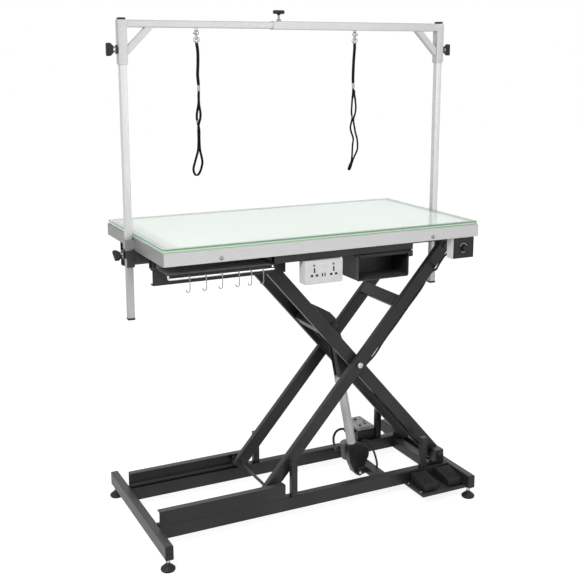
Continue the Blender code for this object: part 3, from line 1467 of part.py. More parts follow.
def clip(name, x):
    """Snap hook: a long wire ring through the eye, a swivel barrel and a ring for the strap."""
    crown = EYE_Z - EYE_RADIUS + EYE_WIRE_RADIUS + GAP + CLIP_WIRE_RADIUS
    bow = arc_points((x, 0, crown - CLIP_RADIUS), CLIP_RADIUS, 0, pi, 8)
    low = crown - CLIP_LENGTH + CLIP_RADIUS
    heel = arc_points((x, 0, low), CLIP_RADIUS, pi, 2 * pi, 8)
    ring = swept(name, [*bow, *heel], CLIP_WIRE_RADIUS, closed=True)
    barrel_top = low - CLIP_RADIUS + 0.001
    barrel = turned(
        f"{name}_barrel",
        [
            (barrel_top, 0.0035),
            (barrel_top - 0.002, 0.0048),
            (barrel_top - CLIP_BARREL + 0.002, 0.0048),
            (barrel_top - CLIP_BARREL, 0.0035),
        ],
        12,
        (x, 0, 0),
    )
    strap_z = barrel_top - CLIP_BARREL + 0.001 - CLIP_RADIUS
    loop = arc_points((x, 0, strap_z), CLIP_RADIUS, 0, 2 * pi, 16, "XZ")[:-1]
    strap_ring = swept(f"{name}_strap_ring", loop, CLIP_WIRE_RADIUS, closed=True)
    return weld(ring, barrel, strap_ring), strap_z - CLIP_RADIUS - CLIP_WIRE_RADIUS


def nooses():
    made = []
    for name, x, route in (
        ("noose_left", NOOSE_X[0], LEFT_NOOSE_ROUTE),
        ("noose_right", NOOSE_X[1], RIGHT_NOOSE_ROUTE),
    ):
        hook, hook_bottom = clip(f"{name}_clip", x)
        start = Vector((x, 0, hook_bottom - GAP))
        points = [start + Vector(p) for p in route]
        strap = rod(f"{name}_strap", smooth_route(points, 0.0145), STRAP_RADIUS, 2)
        swing = axis_empty(f"{name}_axis", (x, 0, EYE_Z - EYE_RADIUS))
        hang_on(swing, finish(hook, "chrome"), finish(strap, "webbing"))
        made += [hook, strap]
    return made


# Each route starts at the clip's lower eye and hangs straight down to the sliding buckle. The
# band then runs down one side of the neck loop, round its foot and back up to the buckle.
LEFT_NOOSE_ROUTE = (
    (0.000, 0.000, 0.000),
    (0.004, 0.000, -0.030),
    (0.004, 0.000, -0.070),
    (0.002, 0.000, -0.110),
    (0.005, 0.001, -0.146),
    (0.006, 0.003, -0.170),
    (0.006, 0.004, -0.195),
    (0.004, 0.005, -0.218),
    (-0.001, 0.005, -0.242),
    (-0.002, 0.005, -0.262),
    (0.002, 0.005, -0.282),
    (0.006, 0.005, -0.304),
    (0.006, 0.005, -0.340),
    (0.008, 0.005, -0.376),
    (0.013, 0.004, -0.400),
    (0.015, 0.003, -0.420),
    (0.010, 0.002, -0.441),
    (0.001, 0.000, -0.458),
    (-0.010, -0.001, -0.4645),
    (-0.019, -0.002, -0.454),
    (-0.021, -0.003, -0.437),
    (-0.013, -0.004, -0.408),
    (-0.004, -0.005, -0.376),
    (-0.001, -0.005, -0.340),
    (-0.001, -0.005, -0.304),
    (0.001, -0.005, -0.282),
    (0.007, -0.005, -0.262),
    (0.008, -0.005, -0.242),
    (0.004, -0.005, -0.218),
    (0.002, -0.006, -0.195),
    (0.001, -0.007, -0.176),
)
RIGHT_NOOSE_ROUTE = (
    (0.000, 0.000, 0.000),
    (0.000, 0.000, -0.020),
    (-0.003, 0.000, -0.062),
    (-0.005, 0.000, -0.118),
    (-0.004, 0.001, -0.146),
    (-0.002, 0.003, -0.167),
    (-0.002, 0.004, -0.185),
    (-0.004, 0.005, -0.205),
    (-0.006, 0.005, -0.233),
    (-0.007, 0.005, -0.258),
    (-0.004, 0.005, -0.282),
    (-0.008, 0.005, -0.299),
    (-0.011, 0.005, -0.317),
    (-0.006, 0.005, -0.336),
    (0.002, 0.005, -0.358),
    (0.000, 0.006, -0.385),
    (-0.001, 0.007, -0.422),
    (-0.003, 0.009, -0.446),
    (-0.010, 0.010, -0.466),
    (-0.019, 0.000, -0.4795),
    (-0.019, -0.010, -0.466),
    (-0.009, -0.009, -0.446),
    (0.000, -0.007, -0.428),
    (0.013, -0.006, -0.404),
    (0.016, -0.005, -0.385),
    (0.013, -0.005, -0.358),
    (0.006, -0.005, -0.336),
    (0.001, -0.005, -0.313),
    (-0.003, -0.005, -0.294),
    (-0.003, -0.005, -0.280),
    (0.003, -0.005, -0.262),
    (0.006, -0.005, -0.240),
    (0.003, -0.005, -0.210),
    (-0.002, -0.006, -0.190),
    (-0.003, -0.007, -0.174),
)


# From the back of the control housing down to the front arm, then a little way under it.
DIMMER_CABLE_ROUTE = (
    (0.5240, -0.2842, 1.0005),
    (0.5240, -0.2740, 1.0005),
    (0.5290, -0.2450, 0.9840),
    (0.5400, -0.2050, 0.9530),
    (0.5520, -0.1720, 0.9280),
    (0.5600, -0.1500, 0.9100),
    (0.5565, -0.1390, 0.9040),
    (0.5450, -0.1365, 0.8955),
    (0.5278, -0.1365, 0.8762),
)
# Slack loop from the top of the drive's housing down to the cross bar on its right.
DRIVE_CABLE_ROUTE = (
    (0.3213, 0.0000, 0.1644),
    (0.3254, 0.0000, 0.1735),
    (0.3352, -0.0080, 0.1800),
    (0.3510, -0.0205, 0.1650),
    (0.3590, -0.0420, 0.1260),
    (0.3590, -0.0600, 0.0940),
    (0.3575, -0.0600, 0.0758),
)


def cables():
    made = []
    for name, route, radius in (
        ("dimmer_cable", DIMMER_CABLE_ROUTE, DIMMER_CABLE_RADIUS),
        ("drive_cable", DRIVE_CABLE_ROUTE, DRIVE_CABLE_RADIUS),
    ):
        made.append(finish(rod(name, smooth_route(route, 0.013), radius, 2), "rubber"))
    return made


def build():
    clear_scene()
    base_rails()
    base_cross_tubes()
    levelling_feet()
    lift_bar()
    power_box()
    pedal_tray()
    pedals()
    outer_arms()
    inner_arms()
    lift_bracket()
    rollers()
    lift_body()
    lift_rod()
    glass_top()
    table_frame()
    light_panel()
    subframe_rails()
    accessory_bar()
    hook_rail()
    s_hooks()
    socket_box()
    storage_bin()
    dimmer_box()
    dimmer_dial()
    gate_posts()
    clamps()
    crossbar()
    sleeve_knobs()
    tee_knob()
    nooses()
    cables()


build()
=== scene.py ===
"""Looks of an electric grooming table: finishes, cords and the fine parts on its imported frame."""

import json
from math import pi, radians

import bpy
import numpy as np
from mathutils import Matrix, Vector


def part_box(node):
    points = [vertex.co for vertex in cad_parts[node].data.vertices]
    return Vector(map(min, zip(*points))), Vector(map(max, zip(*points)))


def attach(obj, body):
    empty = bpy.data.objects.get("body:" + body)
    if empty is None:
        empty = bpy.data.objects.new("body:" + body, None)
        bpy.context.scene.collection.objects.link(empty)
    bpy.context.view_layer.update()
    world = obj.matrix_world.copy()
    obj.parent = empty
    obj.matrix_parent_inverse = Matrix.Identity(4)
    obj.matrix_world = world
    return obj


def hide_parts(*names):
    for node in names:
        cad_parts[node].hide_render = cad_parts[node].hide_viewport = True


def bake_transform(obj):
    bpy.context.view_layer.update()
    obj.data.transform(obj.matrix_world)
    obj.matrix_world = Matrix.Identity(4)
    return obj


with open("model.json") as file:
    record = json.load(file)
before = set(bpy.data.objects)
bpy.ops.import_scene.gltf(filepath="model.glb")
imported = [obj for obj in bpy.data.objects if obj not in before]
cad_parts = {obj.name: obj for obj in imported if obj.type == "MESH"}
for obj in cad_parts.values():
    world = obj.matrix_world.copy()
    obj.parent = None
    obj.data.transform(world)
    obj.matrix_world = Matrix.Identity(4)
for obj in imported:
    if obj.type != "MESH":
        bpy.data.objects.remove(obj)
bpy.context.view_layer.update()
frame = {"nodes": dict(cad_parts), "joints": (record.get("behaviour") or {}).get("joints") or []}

scene = bpy.context.scene
scene.view_settings.view_transform = "Standard"


# ---------------------------------------------------------------- camera, floor and light
def camera():
    data = bpy.data.cameras.new("camera")
    data.sensor_width = 36
    data.lens = 59.52
    data.shift_y = -0.0776
    data.clip_end = 60
    holder = bpy.data.objects.new("camera", data)
    holder.location = (-1.5878, -3.2100, 1.7488)
    holder.rotation_euler = (radians(78.649), 0, radians(-26.18))
    scene.collection.objects.link(holder)
    scene.camera = holder


def soft_lamp(name, place, target, size, power):
    data = bpy.data.lights.new(name, "AREA")
    data.shape = "DISK"
    data.size = size
    data.energy = power
    holder = bpy.data.objects.new(name, data)
    holder.location = place
    way = Vector(target) - Vector(place)
    holder.rotation_euler = way.to_track_quat("-Z", "Y").to_euler()
    scene.collection.objects.link(holder)


# ---------------------------------------------------------------- shader maths
class Shade:
    """A socket in a material. Arithmetic on it adds Math nodes."""

    def __init__(self, tree, socket):
        self.tree = tree
        self.socket = socket

    def node(self, kind, settings=(), sockets=(), output=0):
        """Adds a node: first its settings, then the values or links of its sockets."""
        made = self.tree.nodes.new(kind)
        for name, value in dict(settings).items():
            setattr(made, name, value)
        for name, value in dict(sockets).items():
            self.feed(made.inputs[name], value)
        return Shade(self.tree, made.outputs[output])

    def feed(self, target, value):
        if isinstance(value, Shade):
            self.tree.links.new(value.socket, target)
        else:
            target.default_value = value

    def maths(self, operation, first, second=0.0):
        return self.node("ShaderNodeMath", {"operation": operation}, {0: first, 1: second})

    def __add__(self, other):
        return self.maths("ADD", self, other)

    def __radd__(self, other):
        return self.maths("ADD", other, self)

    def __sub__(self, other):
        return self.maths("SUBTRACT", self, other)

    def __rsub__(self, other):
        return self.maths("SUBTRACT", other, self)

    def __mul__(self, other):
        return self.maths("MULTIPLY", self, other)

    def __rmul__(self, other):
        return self.maths("MULTIPLY", other, self)

    def __abs__(self):
        return self.maths("ABSOLUTE", self)

    def between(self, low, high):
        """0 up to low, 1 from high, and a smooth step from one to the other."""
        return self.node(
            "ShaderNodeMapRange",
            {"interpolation_type": "SMOOTHSTEP"},
            {"Value": self, "From Min": low, "From Max": high, "To Min": 0.0, "To Max": 1.0},
        )

    def above(self, edge, blur=0.0004):
        return self.between(edge - blur, edge + blur)

    def within(self, low, high):
        """1 from low to high and 0 outside."""
        return self.above(low) * (1.0 - self.above(high))

    def mixed(self, first, second):
        """Colour first where this is 0 and second where it is 1."""
        return self.node(
            "ShaderNodeMix", {"data_type": "RGBA"}, {0: self, 6: first, 7: second}, output=2
        )


def seen_rays(tree):
    """1 for what the camera sees, straight or in a mirror or through glass."""
    rays = tree.nodes.new("ShaderNodeLightPath")
    seen = Shade(tree, rays.outputs["Is Camera Ray"])
    for kind in ("Is Glossy Ray", "Is Transmission Ray"):
        seen = seen.maths("MAXIMUM", seen, Shade(tree, rays.outputs[kind]))
    return seen


class Finish:
    """A material for one finish, with the sockets its pattern starts from."""

    def __init__(self, name):
        self.material = bpy.data.materials.new(name)
        self.material.use_nodes = True
        self.tree = self.material.node_tree
        self.shader = self.tree.nodes["Principled BSDF"]
        places = self.tree.nodes.new("ShaderNodeTexCoord")
        self.place = Shade(self.tree, places.outputs["Object"])
        self.uv = Shade(self.tree, places.outputs["UV"])
        self.facing = Shade(self.tree, places.outputs["Normal"])

    def noise(self, scale, detail=3.0, stretch=(1, 1, 1)):
        vector = self.place.node(
            "ShaderNodeMapping", {}, {"Vector": self.place, "Scale": stretch}
        )
        return self.place.node(
            "ShaderNodeTexNoise", {}, {"Vector": vector, "Scale": scale, "Detail": detail}
        )

    def part(self, axis, source=None):
        """X, Y or Z of the place, or of another source."""
        return self.place.node(
            "ShaderNodeSeparateXYZ", {}, {0: source or self.place}, output="XYZ".index(axis)
        )

    def along(self, way, start):
        """Distance of the place from start along a direction."""
        x, y, z = way
        first = Vector(start).dot(Vector(way))
        return self.part("X") * x + self.part("Y") * y + (self.part("Z") * z - first)

    def set(self, **values):
        for name, value in values.items():
            self.place.feed(self.shader.inputs[name.replace("_", " ")], value)
        return self

    def bumps(self, height, distance, strength=1.0):
        normal = self.place.node(
            "ShaderNodeBump", {}, {"Height": height, "Distance": distance, "Strength": strength}
        )
        self.place.feed(self.shader.inputs["Normal"], normal)
        return self


def colour(r, g, b):
    return (r, g, b, 1.0)


def grey(level):
    return (level, level, level, 1.0)


AMBIENT = 0.25  # share of the background's light that falls on the object
FLOOR_GLOW = 0.84
FLOOR_REACH = 14
# half height of the line of painted shade in the groove between a base rail's tube and its track
GROOVE_SHADE_HALF = 0.0011
UPWARD_PAINTED_LIGHT = 0.065  # paleness painted on black surfaces that face up, as painted light from above
GATE_PAINTED_SHADE = (1.10, 1.13)  # height over which painted shade on the posts below the table gives way to their bright finish
DRIVE_TUBE_START = 0.1265  # along the drive from its lower pin
DRIVE_MOTOR_Y = 0.0212
RIB_PITCH = 2 * pi / 780
SPLIT_ANGLE = radians(35)
EDGE_ROUND = 0.0016
SPACING = 0.004  # of the points along a cord
CABLE_RADIUS = 0.0044
ARM_TIE_RADIUS = 0.0041
ARM_GAP = 0.0294  # from an arm's middle line to the cable beside it
OUTER_ARM_Y = -0.1365
INNER_ARM_Y = -0.1095
BAND = (0.0085, 0.0016)  # the noose's webbing, wide and thick
SLIDER_POINTS = slice(37, 43)  # of the points along a noose
CLASP_POINTS = slice(68, 71)
SCREW_X = (-0.422, 0.418)
SCREW_Y = 0.325
SCREW_Z = 1.0815
SOCKET_X = (-0.074, 0.002)
CHARGING_X = (-0.0425, -0.0325)

JOINT = {j["name"]: j for j in frame["joints"]}
LIFT_FOOT = Vector(JOINT["drive_tilt"]["pos_m"])
LIFT_WAY = Vector(JOINT["drive_stroke"]["axis"])
DIAL = Vector(JOINT["dimmer_turn"]["pos_m"])
SHELF_LOW = Vector((-0.6055, -0.3123, 1.0388))  # the space over the tool shelf's floor
SHELF_HIGH = Vector((-0.234, -0.1915, 1.0680))


def powder_coat(name):
    """Cloudy black, with painted light that makes what faces up paler. Returns the finish and its
    tone.
    """
    f = Finish(name)
    cloud = f.noise(9, 4)
    tone = cloud.between(0.3, 0.75).mixed(grey(0.016), grey(0.026))
    # Painted light: surfaces that face up are paler, as if lit from above.
    tone = f.part("Z", f.facing).between(0.3, 0.95).mixed(tone, grey(UPWARD_PAINTED_LIGHT))
    f.set(Base_Color=tone, Roughness=0.33 + 0.12 * cloud, Specular_IOR_Level=0.3)
    f.bumps(f.noise(900, 2), 0.00012, 0.55)
    return f, tone


def brushed(name, dark, light, stretch, rough, metal):
    """Metal with fine lines along the axis whose stretch is small. Returns its tone too."""
    f = Finish(name)
    lines = f.noise(1400, 3, stretch)
    tone = lines.between(0.3, 0.7).mixed(grey(dark), grey(light))
    f.set(Base_Color=tone, Metallic=metal, Roughness=rough + 0.14 * lines + 0.06 * f.noise(5, 3))
    f.bumps(lines, 0.00004, 0.5)
    return f, tone


def plated(name, scale, detail, dark, light, metal, rough, smeared):
    """Smooth metal with smears, which are that much rougher."""
    f = Finish(name)
    smear = f.noise(scale, detail)
    tone = smear.between(0.3, 0.7).mixed(grey(dark), grey(light))
    f.set(Base_Color=tone, Metallic=metal, Roughness=rough + smeared * smear)
    return f


def plastic(name, dark, light, rough, grain=1500):
    """Clouded plastic with a fine grain. Returns the finish and its tone."""
    f = Finish(name)
    cloud = f.noise(30, 3)
    tone = cloud.between(0.3, 0.7).mixed(dark, light)
    f.set(Base_Color=tone, Roughness=rough + 0.12 * cloud, Specular_IOR_Level=0.3)
    f.bumps(f.noise(grain, 2), 0.00006, 0.5)
    return f, tone


def two_tone(f, mask, tone, other, rough, metal):
    """Gives the place where mask is 1 another colour, with its own metal and roughness."""
    f.set(Base_Color=mask.mixed(tone, other), Metallic=metal * mask)
    f.set(Roughness=(1.0 - mask) * 0.48 + mask * (rough + 0.1 * f.noise(90, 3)))
    return f


def make_finishes():
    made = {"black": powder_coat("black powder coat")[0]}
    f, tone = powder_coat("black powder coat with a painted groove shade line")
    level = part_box("base_tube_left")[1].z
    # Painted shade: a near-black line where shade falls in the groove between the rail's tube and
    # its track.
    seam = f.part("Z").within(level - GROOVE_SHADE_HALF, level + GROOVE_SHADE_HALF)
    f.set(Base_Color=seam.mixed(tone, grey(0.004)))
    made["rail"] = f
    f, tone = powder_coat("black powder coat with a grey shelf")
    # The grey lining inside the shelf, made paler than its own grey as painted light in the shade
    # of the shelf.
    inside = f.part("Y").within(SHELF_LOW.y, SHELF_HIGH.y) * f.part("Z").above(SHELF_LOW.z)
    inside = inside * f.part("X").within(SHELF_LOW.x, SHELF_HIGH.x)
    mesh = f.noise(420, 2).between(0.35, 0.65).mixed(grey(0.16), grey(0.34))
    f.set(Base_Color=inside.mixed(tone, mesh))
    made["shelf"] = f
    made["dark steel"] = brushed("dark brushed steel", 0.045, 0.085, (1, 1, 0.03), 0.3, 0.6)[0]
    f, tone = brushed("satin gate steel", 0.56, 0.66, (1, 1, 0.02), 0.36, 0.7)
    # Painted shade: the posts are darker below this height, where the table's shadow falls.
    f.set(Base_Color=f.part("Z").between(*GATE_PAINTED_SHADE).mixed(grey(0.43), tone))
    made["gate"] = f
    made["crossbar"] = brushed("satin crossbar steel", 0.45, 0.53, (0.02, 1, 1), 0.36, 0.7)[0]

    f, tone = brushed("stainless table frame", 0.50, 0.62, (0.012, 1, 1), 0.36, 0.6)
    flange = f.part("Z").above(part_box("light_panel")[1].z - 0.0012)
    # Painted reflection: the frame's left end is darker grey, a painted dark reflection.
    ends = 1.0 - f.part("X").above(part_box("glass_top")[0].x + 0.0012)
    # The flange's grey under the glass, with painted shade darkening it from left to right.
    flange_grey_with_painted_shade = f.part("X").between(-0.55, 0.45).mixed(grey(0.44), grey(0.22))
    f.set(Base_Color=flange.mixed(ends.mixed(tone, grey(0.29)), flange_grey_with_painted_shade))
    f.set(Metallic=0.45 * (1.0 - flange), Roughness=0.38 + 0.1 * f.noise(300, 3, (0.02, 1, 1)))
    made["stainless"] = f

    made["chrome"] = plated("polished chrome", 60, 3, 0.60, 0.74, 1.0, 0.12, 0.12)
    made["hook steel"] = plated("hook steel", 150, 3, 0.20, 0.34, 0.9, 0.26, 0.12)
    made["zinc"] = plated("zinc plate", 120, 4, 0.46, 0.62, 0.85, 0.28, 0.20)

    made["black plastic"] = plastic("black plastic", grey(0.010), grey(0.017), 0.36)[0]
    made["rubber"] = plastic("black rubber", grey(0.009), grey(0.015), 0.58, 1100)[0]
    made["cable"] = plastic("black cable", grey(0.003), grey(0.006), 0.42, 900)[0]
    made["pale plastic"] = plastic("pale plastic", grey(0.42), grey(0.50), 0.35)[0]
    made["red plastic"] = plastic("red print", (0.55, 0.03, 0.02, 1), (0.62, 0.05, 0.03, 1), 0.4)[0]
    made["white print"] = plastic("white print", grey(0.50), grey(0.60), 0.5)[0]
    made["satin black"] = plastic("satin black edge", grey(0.035), grey(0.055), 0.30)[0]
    # Painted shade for the socket's slots, and the real black of the supply's plugs.
    made["painted hole shade and black plug"] = plastic("painted hole shade and black plug", grey(0.004), grey(0.007), 0.7)[0]

    for name, joint, along, radius, reach, metal in (
        ("clamp knob", "clamp_knob_left_turn", "X", 0.0088, 0.0178, 0.55),
        ("sleeve knob", "sleeve_knob_left_turn", "X", 0.0088, 0.0178, 0.55),
        ("tee knob", "tee_knob_turn", "Z", 0.0052, 0.0240, 0.26),
    ):
        f, tone = plastic(f"{name} plastic with a zinc screw", grey(0.010), grey(0.017), 0.36)
        spot = JOINT[joint]["pos_m"]
        a, b = (f.part(axis) - spot["XYZ".index(axis)] for axis in "XYZ".replace(along, ""))
        out = abs(f.part(along)) - abs(spot["XYZ".index(along)])
        stem = (1.0 - a.maths("SQRT", a * a + b * b).above(radius)) * (1.0 - out.above(reach))
        if along == "Z":
            stem = stem.maths("MAXIMUM", stem, 1.0 - out.above(0.0075))
        made[name] = two_tone(f, stem, tone, grey(metal), 0.25, 0.9)

    f, tone = plastic("foot rubber and zinc stem", grey(0.012), grey(0.018), 0.6)
    made["foot"] = two_tone(f, f.part("Z").above(0.0295), tone, grey(0.52), 0.25, 0.85)

    made["white"] = plastic("white socket plastic", grey(0.76), grey(0.83), 0.30, 900)[0]

    f, tone = plastic("linear drive", grey(0.010), grey(0.016), 0.38)
    up = f.along(LIFT_WAY, LIFT_FOOT)
    tube = up.above(DRIVE_TUBE_START)
    motor = f.part("Y").above(DRIVE_MOTOR_Y)
    off = f.along(LIFT_WAY.cross((0, 1, 0)), LIFT_FOOT)
    round_pin = up.maths("SQRT", up * up + off * off)
    bolt = (1.0 - f.part("Y").above(-0.0283)) * (1.0 - round_pin.above(0.0055))
    ribs = up.maths("SINE", up * (2 * pi / RIB_PITCH)).between(-0.2, 0.6)
    cloud = f.noise(14, 4)
    pale = cloud.between(0.3, 0.7).mixed(grey(0.60), grey(0.70))
    # The motor's grey ribs, with painted shade darker in their troughs and paler on their crests.
    rib_grey_with_painted_shade = ribs.mixed(grey(0.10), grey(0.24))
    tone = tube.mixed(motor.mixed(tone, rib_grey_with_painted_shade), pale)
    f.set(Base_Color=bolt.mixed(tone, grey(0.60)), Metallic=0.2 * tube + 0.8 * bolt)
    f.set(Roughness=0.34 + 0.1 * cloud)
    f.bumps(ribs * motor, 0.0008, 0.6)
    made["drive"] = f

    f, tone = plastic("power supply", grey(0.012), grey(0.019), 0.42)
    lid = f.part("Z").above(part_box("power_box")[1].z - 0.0125)
    wear = f.noise(45, 4)
    pale = wear.between(0.35, 0.65).mixed(grey(0.30), grey(0.46))
    made["power"] = two_tone(f, lid, tone, pale, 0.4, 0.3)

    f, steel = brushed("control housing", 0.80, 0.90, (0.03, 1, 1), 0.36, 0.4)
    front = 1.0 - f.part("Y").above(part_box("dimmer_box")[0].y + 0.0006)
    f.set(Base_Color=front.mixed(steel, grey(0.012)), Metallic=0.4 * (1.0 - front))
    f.set(Specular_IOR_Level=0.3)
    made["housing"] = f

    f = plastic("control dial", grey(0.006), grey(0.010), 0.25)[0]
    f.set(Roughness=0.16 + 0.1 * f.noise(60, 3))
    made["dial"] = f

    f = Finish("lit diffuser")
    cloud = f.noise(2.5, 2)
    low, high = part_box("glass_top")
    # The panel is dark in a band along its edges.
    left = f.part("X").between(low.x + 0.046, low.x + 0.080)
    right = 1.0 - f.part("X").between(high.x - 0.037, high.x - 0.029)
    ends = 1.0 - abs(f.part("Y")).between(high.y - 0.038, high.y - 0.030)
    tone = cloud.between(0.3, 0.7).mixed(colour(0.605, 0.645, 0.60), colour(0.65, 0.685, 0.645))
    f.set(Base_Color=colour(0.28, 0.29, 0.28), Roughness=0.7)
    lit = (left * right * ends).mixed(grey(0.42), tone)
    f.set(Emission_Color=lit, Emission_Strength=1.0)
    made["light"] = f

    f = Finish("clear glass")
    f.set(Base_Color=colour(0.93, 0.985, 0.95), Roughness=0.05 + 0.03 * f.noise(20, 3))
    f.set(IOR=1.32, Transmission_Weight=1.0)
    made["glass"] = f

    f = Finish("green glass edge with painted glow")
    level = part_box("glass_top")[1].z
    top = f.part("Z").between(level - 0.0062, level - 0.0042)
    streak = f.noise(40, 3, (1, 1, 12))
    bright = streak.between(0.25, 0.75).mixed(colour(0.44, 0.74, 0.44), colour(0.56, 0.84, 0.55))
    deep = streak.between(0.25, 0.75).mixed(colour(0.15, 0.27, 0.19), colour(0.22, 0.34, 0.25))
    tone = top.mixed(bright, deep)
    f.set(Base_Color=tone, Roughness=0.12 + 0.1 * streak)
    # Painted light: the green edge glows by emission, brightest along its upper band.
    f.set(Emission_Color=tone, Emission_Strength=0.16)
    made["edge"] = f

    f = Finish("black webbing")
    weave = f.place.node(
        "ShaderNodeTexWave",
        {"wave_type": "BANDS", "bands_direction": "Y"},
        {"Vector": f.uv, "Scale": 160.0, "Distortion": 0.6, "Detail": 1.0},
    )
    tone = weave.mixed(grey(0.004), grey(0.014))
    f.set(Base_Color=tone, Roughness=0.85 + 0.05 * weave, Specular_IOR_Level=0.1)
    f.bumps(weave, 0.0003, 0.6)
    made["webbing"] = f

    return {name: f.material for name, f in made.items()}


# ---------------------------------------------------------------- the stage
def stage():
    """Pale floor, lit evenly from all sides, and two soft lamps."""
    world = bpy.data.worlds.new("studio")
    scene.world = world
    world.use_nodes = True
    seen = seen_rays(world.node_tree)
    back = world.node_tree.nodes["Background"]
    back.inputs["Color"].default_value = (1, 1, 1, 1)
    seen.feed(back.inputs["Strength"], AMBIENT + (1 - AMBIENT) * seen)

    f = Finish("pale floor")
    tone = f.noise(1.2, 2).between(0.2, 0.8).mixed(grey(0.52), grey(0.56))
    f.set(Base_Color=tone, Roughness=0.9)
    f.set(Emission_Color=grey(1), Emission_Strength=FLOOR_GLOW * seen_rays(f.tree))
    mesh = bpy.data.meshes.new("floor")
    square = ((-1, -1), (1, -1), (1, 1), (-1, 1))
    corners = [(x * FLOOR_REACH, y * FLOOR_REACH, 0) for x, y in square]
    mesh.from_pydata(corners, [], [(0, 1, 2, 3)])
    mesh.materials.append(f.material)
    floor = bpy.data.objects.new("floor", mesh)
    scene.collection.objects.link(floor)
    soft_lamp("key", (-3.0, -2.7, 3.9), (0, 0, 0.8), 2.2, 152)
    soft_lamp("fill", (1.6, -4.0, 2.0), (0, 0, 0.7), 2.6, 34)


camera()
FINISH = make_finishes()
stage()


# ---------------------------------------------------------------- surfaces
def skin(name, grid, finish, body=None, closed=False):
    """Surface through a grid of points, row by row. Each row closes on itself. The last row joins
    the first where closed, and otherwise a fan of triangles closes each end. UV is the share of the
    way round and the distance along in metres."""
    grid = np.asarray(grid, float)
    rows, sides = grid.shape[:2]
    steps = np.linalg.norm(np.diff(grid.mean(1), axis=0), axis=1)
    down = np.concatenate([[0.0], np.cumsum(steps)])
    index = np.arange(rows * sides).reshape(rows, sides)
    if closed:
        index = np.vstack([index, index[:1]])
        down = np.append(down, down[-1] + np.linalg.norm(grid[0].mean(0) - grid[-1].mean(0)))
    after = np.roll(index, -1, axis=1)
    share = np.arange(sides) / sides
    u = np.broadcast_to(share, (len(index) - 1, sides))
    v = down[:, None] * np.ones(sides)
    faces = np.stack([index[:-1], after[:-1], after[1:], index[1:]], -1).reshape(-1, 4).tolist()
    far_u = u + 1 / sides
    uv = np.stack([u, v[:-1], far_u, v[:-1], far_u, v[1:], u, v[1:]], -1).reshape(-1, 2)
    points = grid.reshape(-1, 3)
    if not closed:
        for row, near, far in ((0, after, index), (rows - 1, index, after)):
            centre = len(points)
            points = np.vstack([points, grid[row].mean(0)])
            faces += np.stack([near[row], far[row], np.full(sides, centre)], -1).tolist()
            level = np.full(sides, down[row])
            fan = np.stack([share, level, share, level, share, level], -1).reshape(-1, 2)
            uv = np.vstack([uv, fan])
    corners = [points[[f[0], f[k], f[k + 1]]] for f in faces for k in range(1, len(f) - 1)]
    volume = np.linalg.det(np.array(corners) - grid.reshape(-1, 3).mean(0)).sum()
    if volume < 0:
        faces = [f[::-1] for f in faces]
        sizes = np.cumsum([0] + [len(f) for f in faces])
        uv = np.vstack([uv[a:b][::-1] for a, b in zip(sizes, sizes[1:])])
    name = name.replace(" ", "_")
    mesh = bpy.data.meshes.new(name)
    mesh.from_pydata(points, [], faces)
    mesh.uv_layers.new(name="uv").data.foreach_set("uv", uv.astype(np.float32).ravel())
    mesh.polygons.foreach_set("use_smooth", np.ones(len(mesh.polygons), bool))
    mesh.set_sharp_from_angle(angle=radians(42))
    mesh.materials.append(FINISH[finish])
    piece = bpy.data.objects.new(name, mesh)
    scene.collection.objects.link(piece)
    if body:
        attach(piece, body)
    return piece


def smooth(points):
    """Evenly spaced points on the smooth curve (Catmull-Rom) through a route."""
    p = np.asarray(points, float)
    p = np.vstack([2 * p[0] - p[1], p, 2 * p[-1] - p[-2]])
    a, b, c, d = p[:-3, None], p[1:-2, None], p[2:-1, None], p[3:, None]
    t = (np.arange(24) / 24)[None, :, None]
    curve = 2 * b + (c - a) * t
    curve = curve + (2 * a - 5 * b + 4 * c - d) * t**2 + (3 * b - a - 3 * c + d) * t**3
    fine = np.vstack([0.5 * curve.reshape(-1, 3), p[-2]])
    reach = np.concatenate([[0], np.cumsum(np.linalg.norm(np.diff(fine, axis=0), axis=1))])
    goals = np.linspace(0, reach[-1], max(2, round(reach[-1] / SPACING)) + 1)
    return np.stack([np.interp(goals, reach, fine[:, k]) for k in range(3)], -1)


def across(path, side=None):
    """Two unit directions across a path at each of its points, carried on from point to point, or
    the first held as near as can be to one side, which may change along it."""
    way = np.gradient(path, axis=0)
    way /= np.linalg.norm(way, axis=1)[:, None]
    first = []
    sides = None if side is None else np.broadcast_to(np.asarray(side, float), path.shape)
    held = np.eye(3)[np.abs(way[0]).argmin()]
    for k, direction in enumerate(way):
        held = held if side is None else sides[k]
        flat = held - direction * held.dot(direction)
        flat /= np.linalg.norm(flat)
        first.append(flat)
        if side is None:
            held = flat
    first = np.array(first)
    return first, np.cross(way, first)


def carried(name, path, outline, finish, body=None, side=None, sizes=None, closed=False):
    """An outline, in distances across a path, carried along it. Sizes scale it at each point."""
    path = np.asarray(path, float)
    first, second = across(path, side)
    scale = np.ones(len(path)) if sizes is None else np.asarray(sizes, float)
    outline = np.asarray(outline, float)
    grid = path[:, None] + scale[:, None, None] * (
        outline[None, :, :1] * first[:, None] + outline[None, :, 1:] * second[:, None]
    )
    return skin(name, grid, finish, body, closed)


def circle(radius, sides=16):
    t = np.arange(sides) * 2 * pi / sides
    return np.stack([radius * np.cos(t), radius * np.sin(t)], -1)


def rounded(width, height, radius, steps=4):
    """Outline of a rectangle with round corners."""
    t = np.linspace(0, pi / 2, steps + 1)
    parts = []
    for k, (sx, sy) in enumerate(((1, 1), (-1, 1), (-1, -1), (1, -1))):
        centre = np.array([sx * (width / 2 - radius), sy * (height / 2 - radius)])
        turn = t + k * pi / 2
        parts.append(centre + radius * np.stack([np.cos(turn), np.sin(turn)], -1))
    return np.vstack(parts)


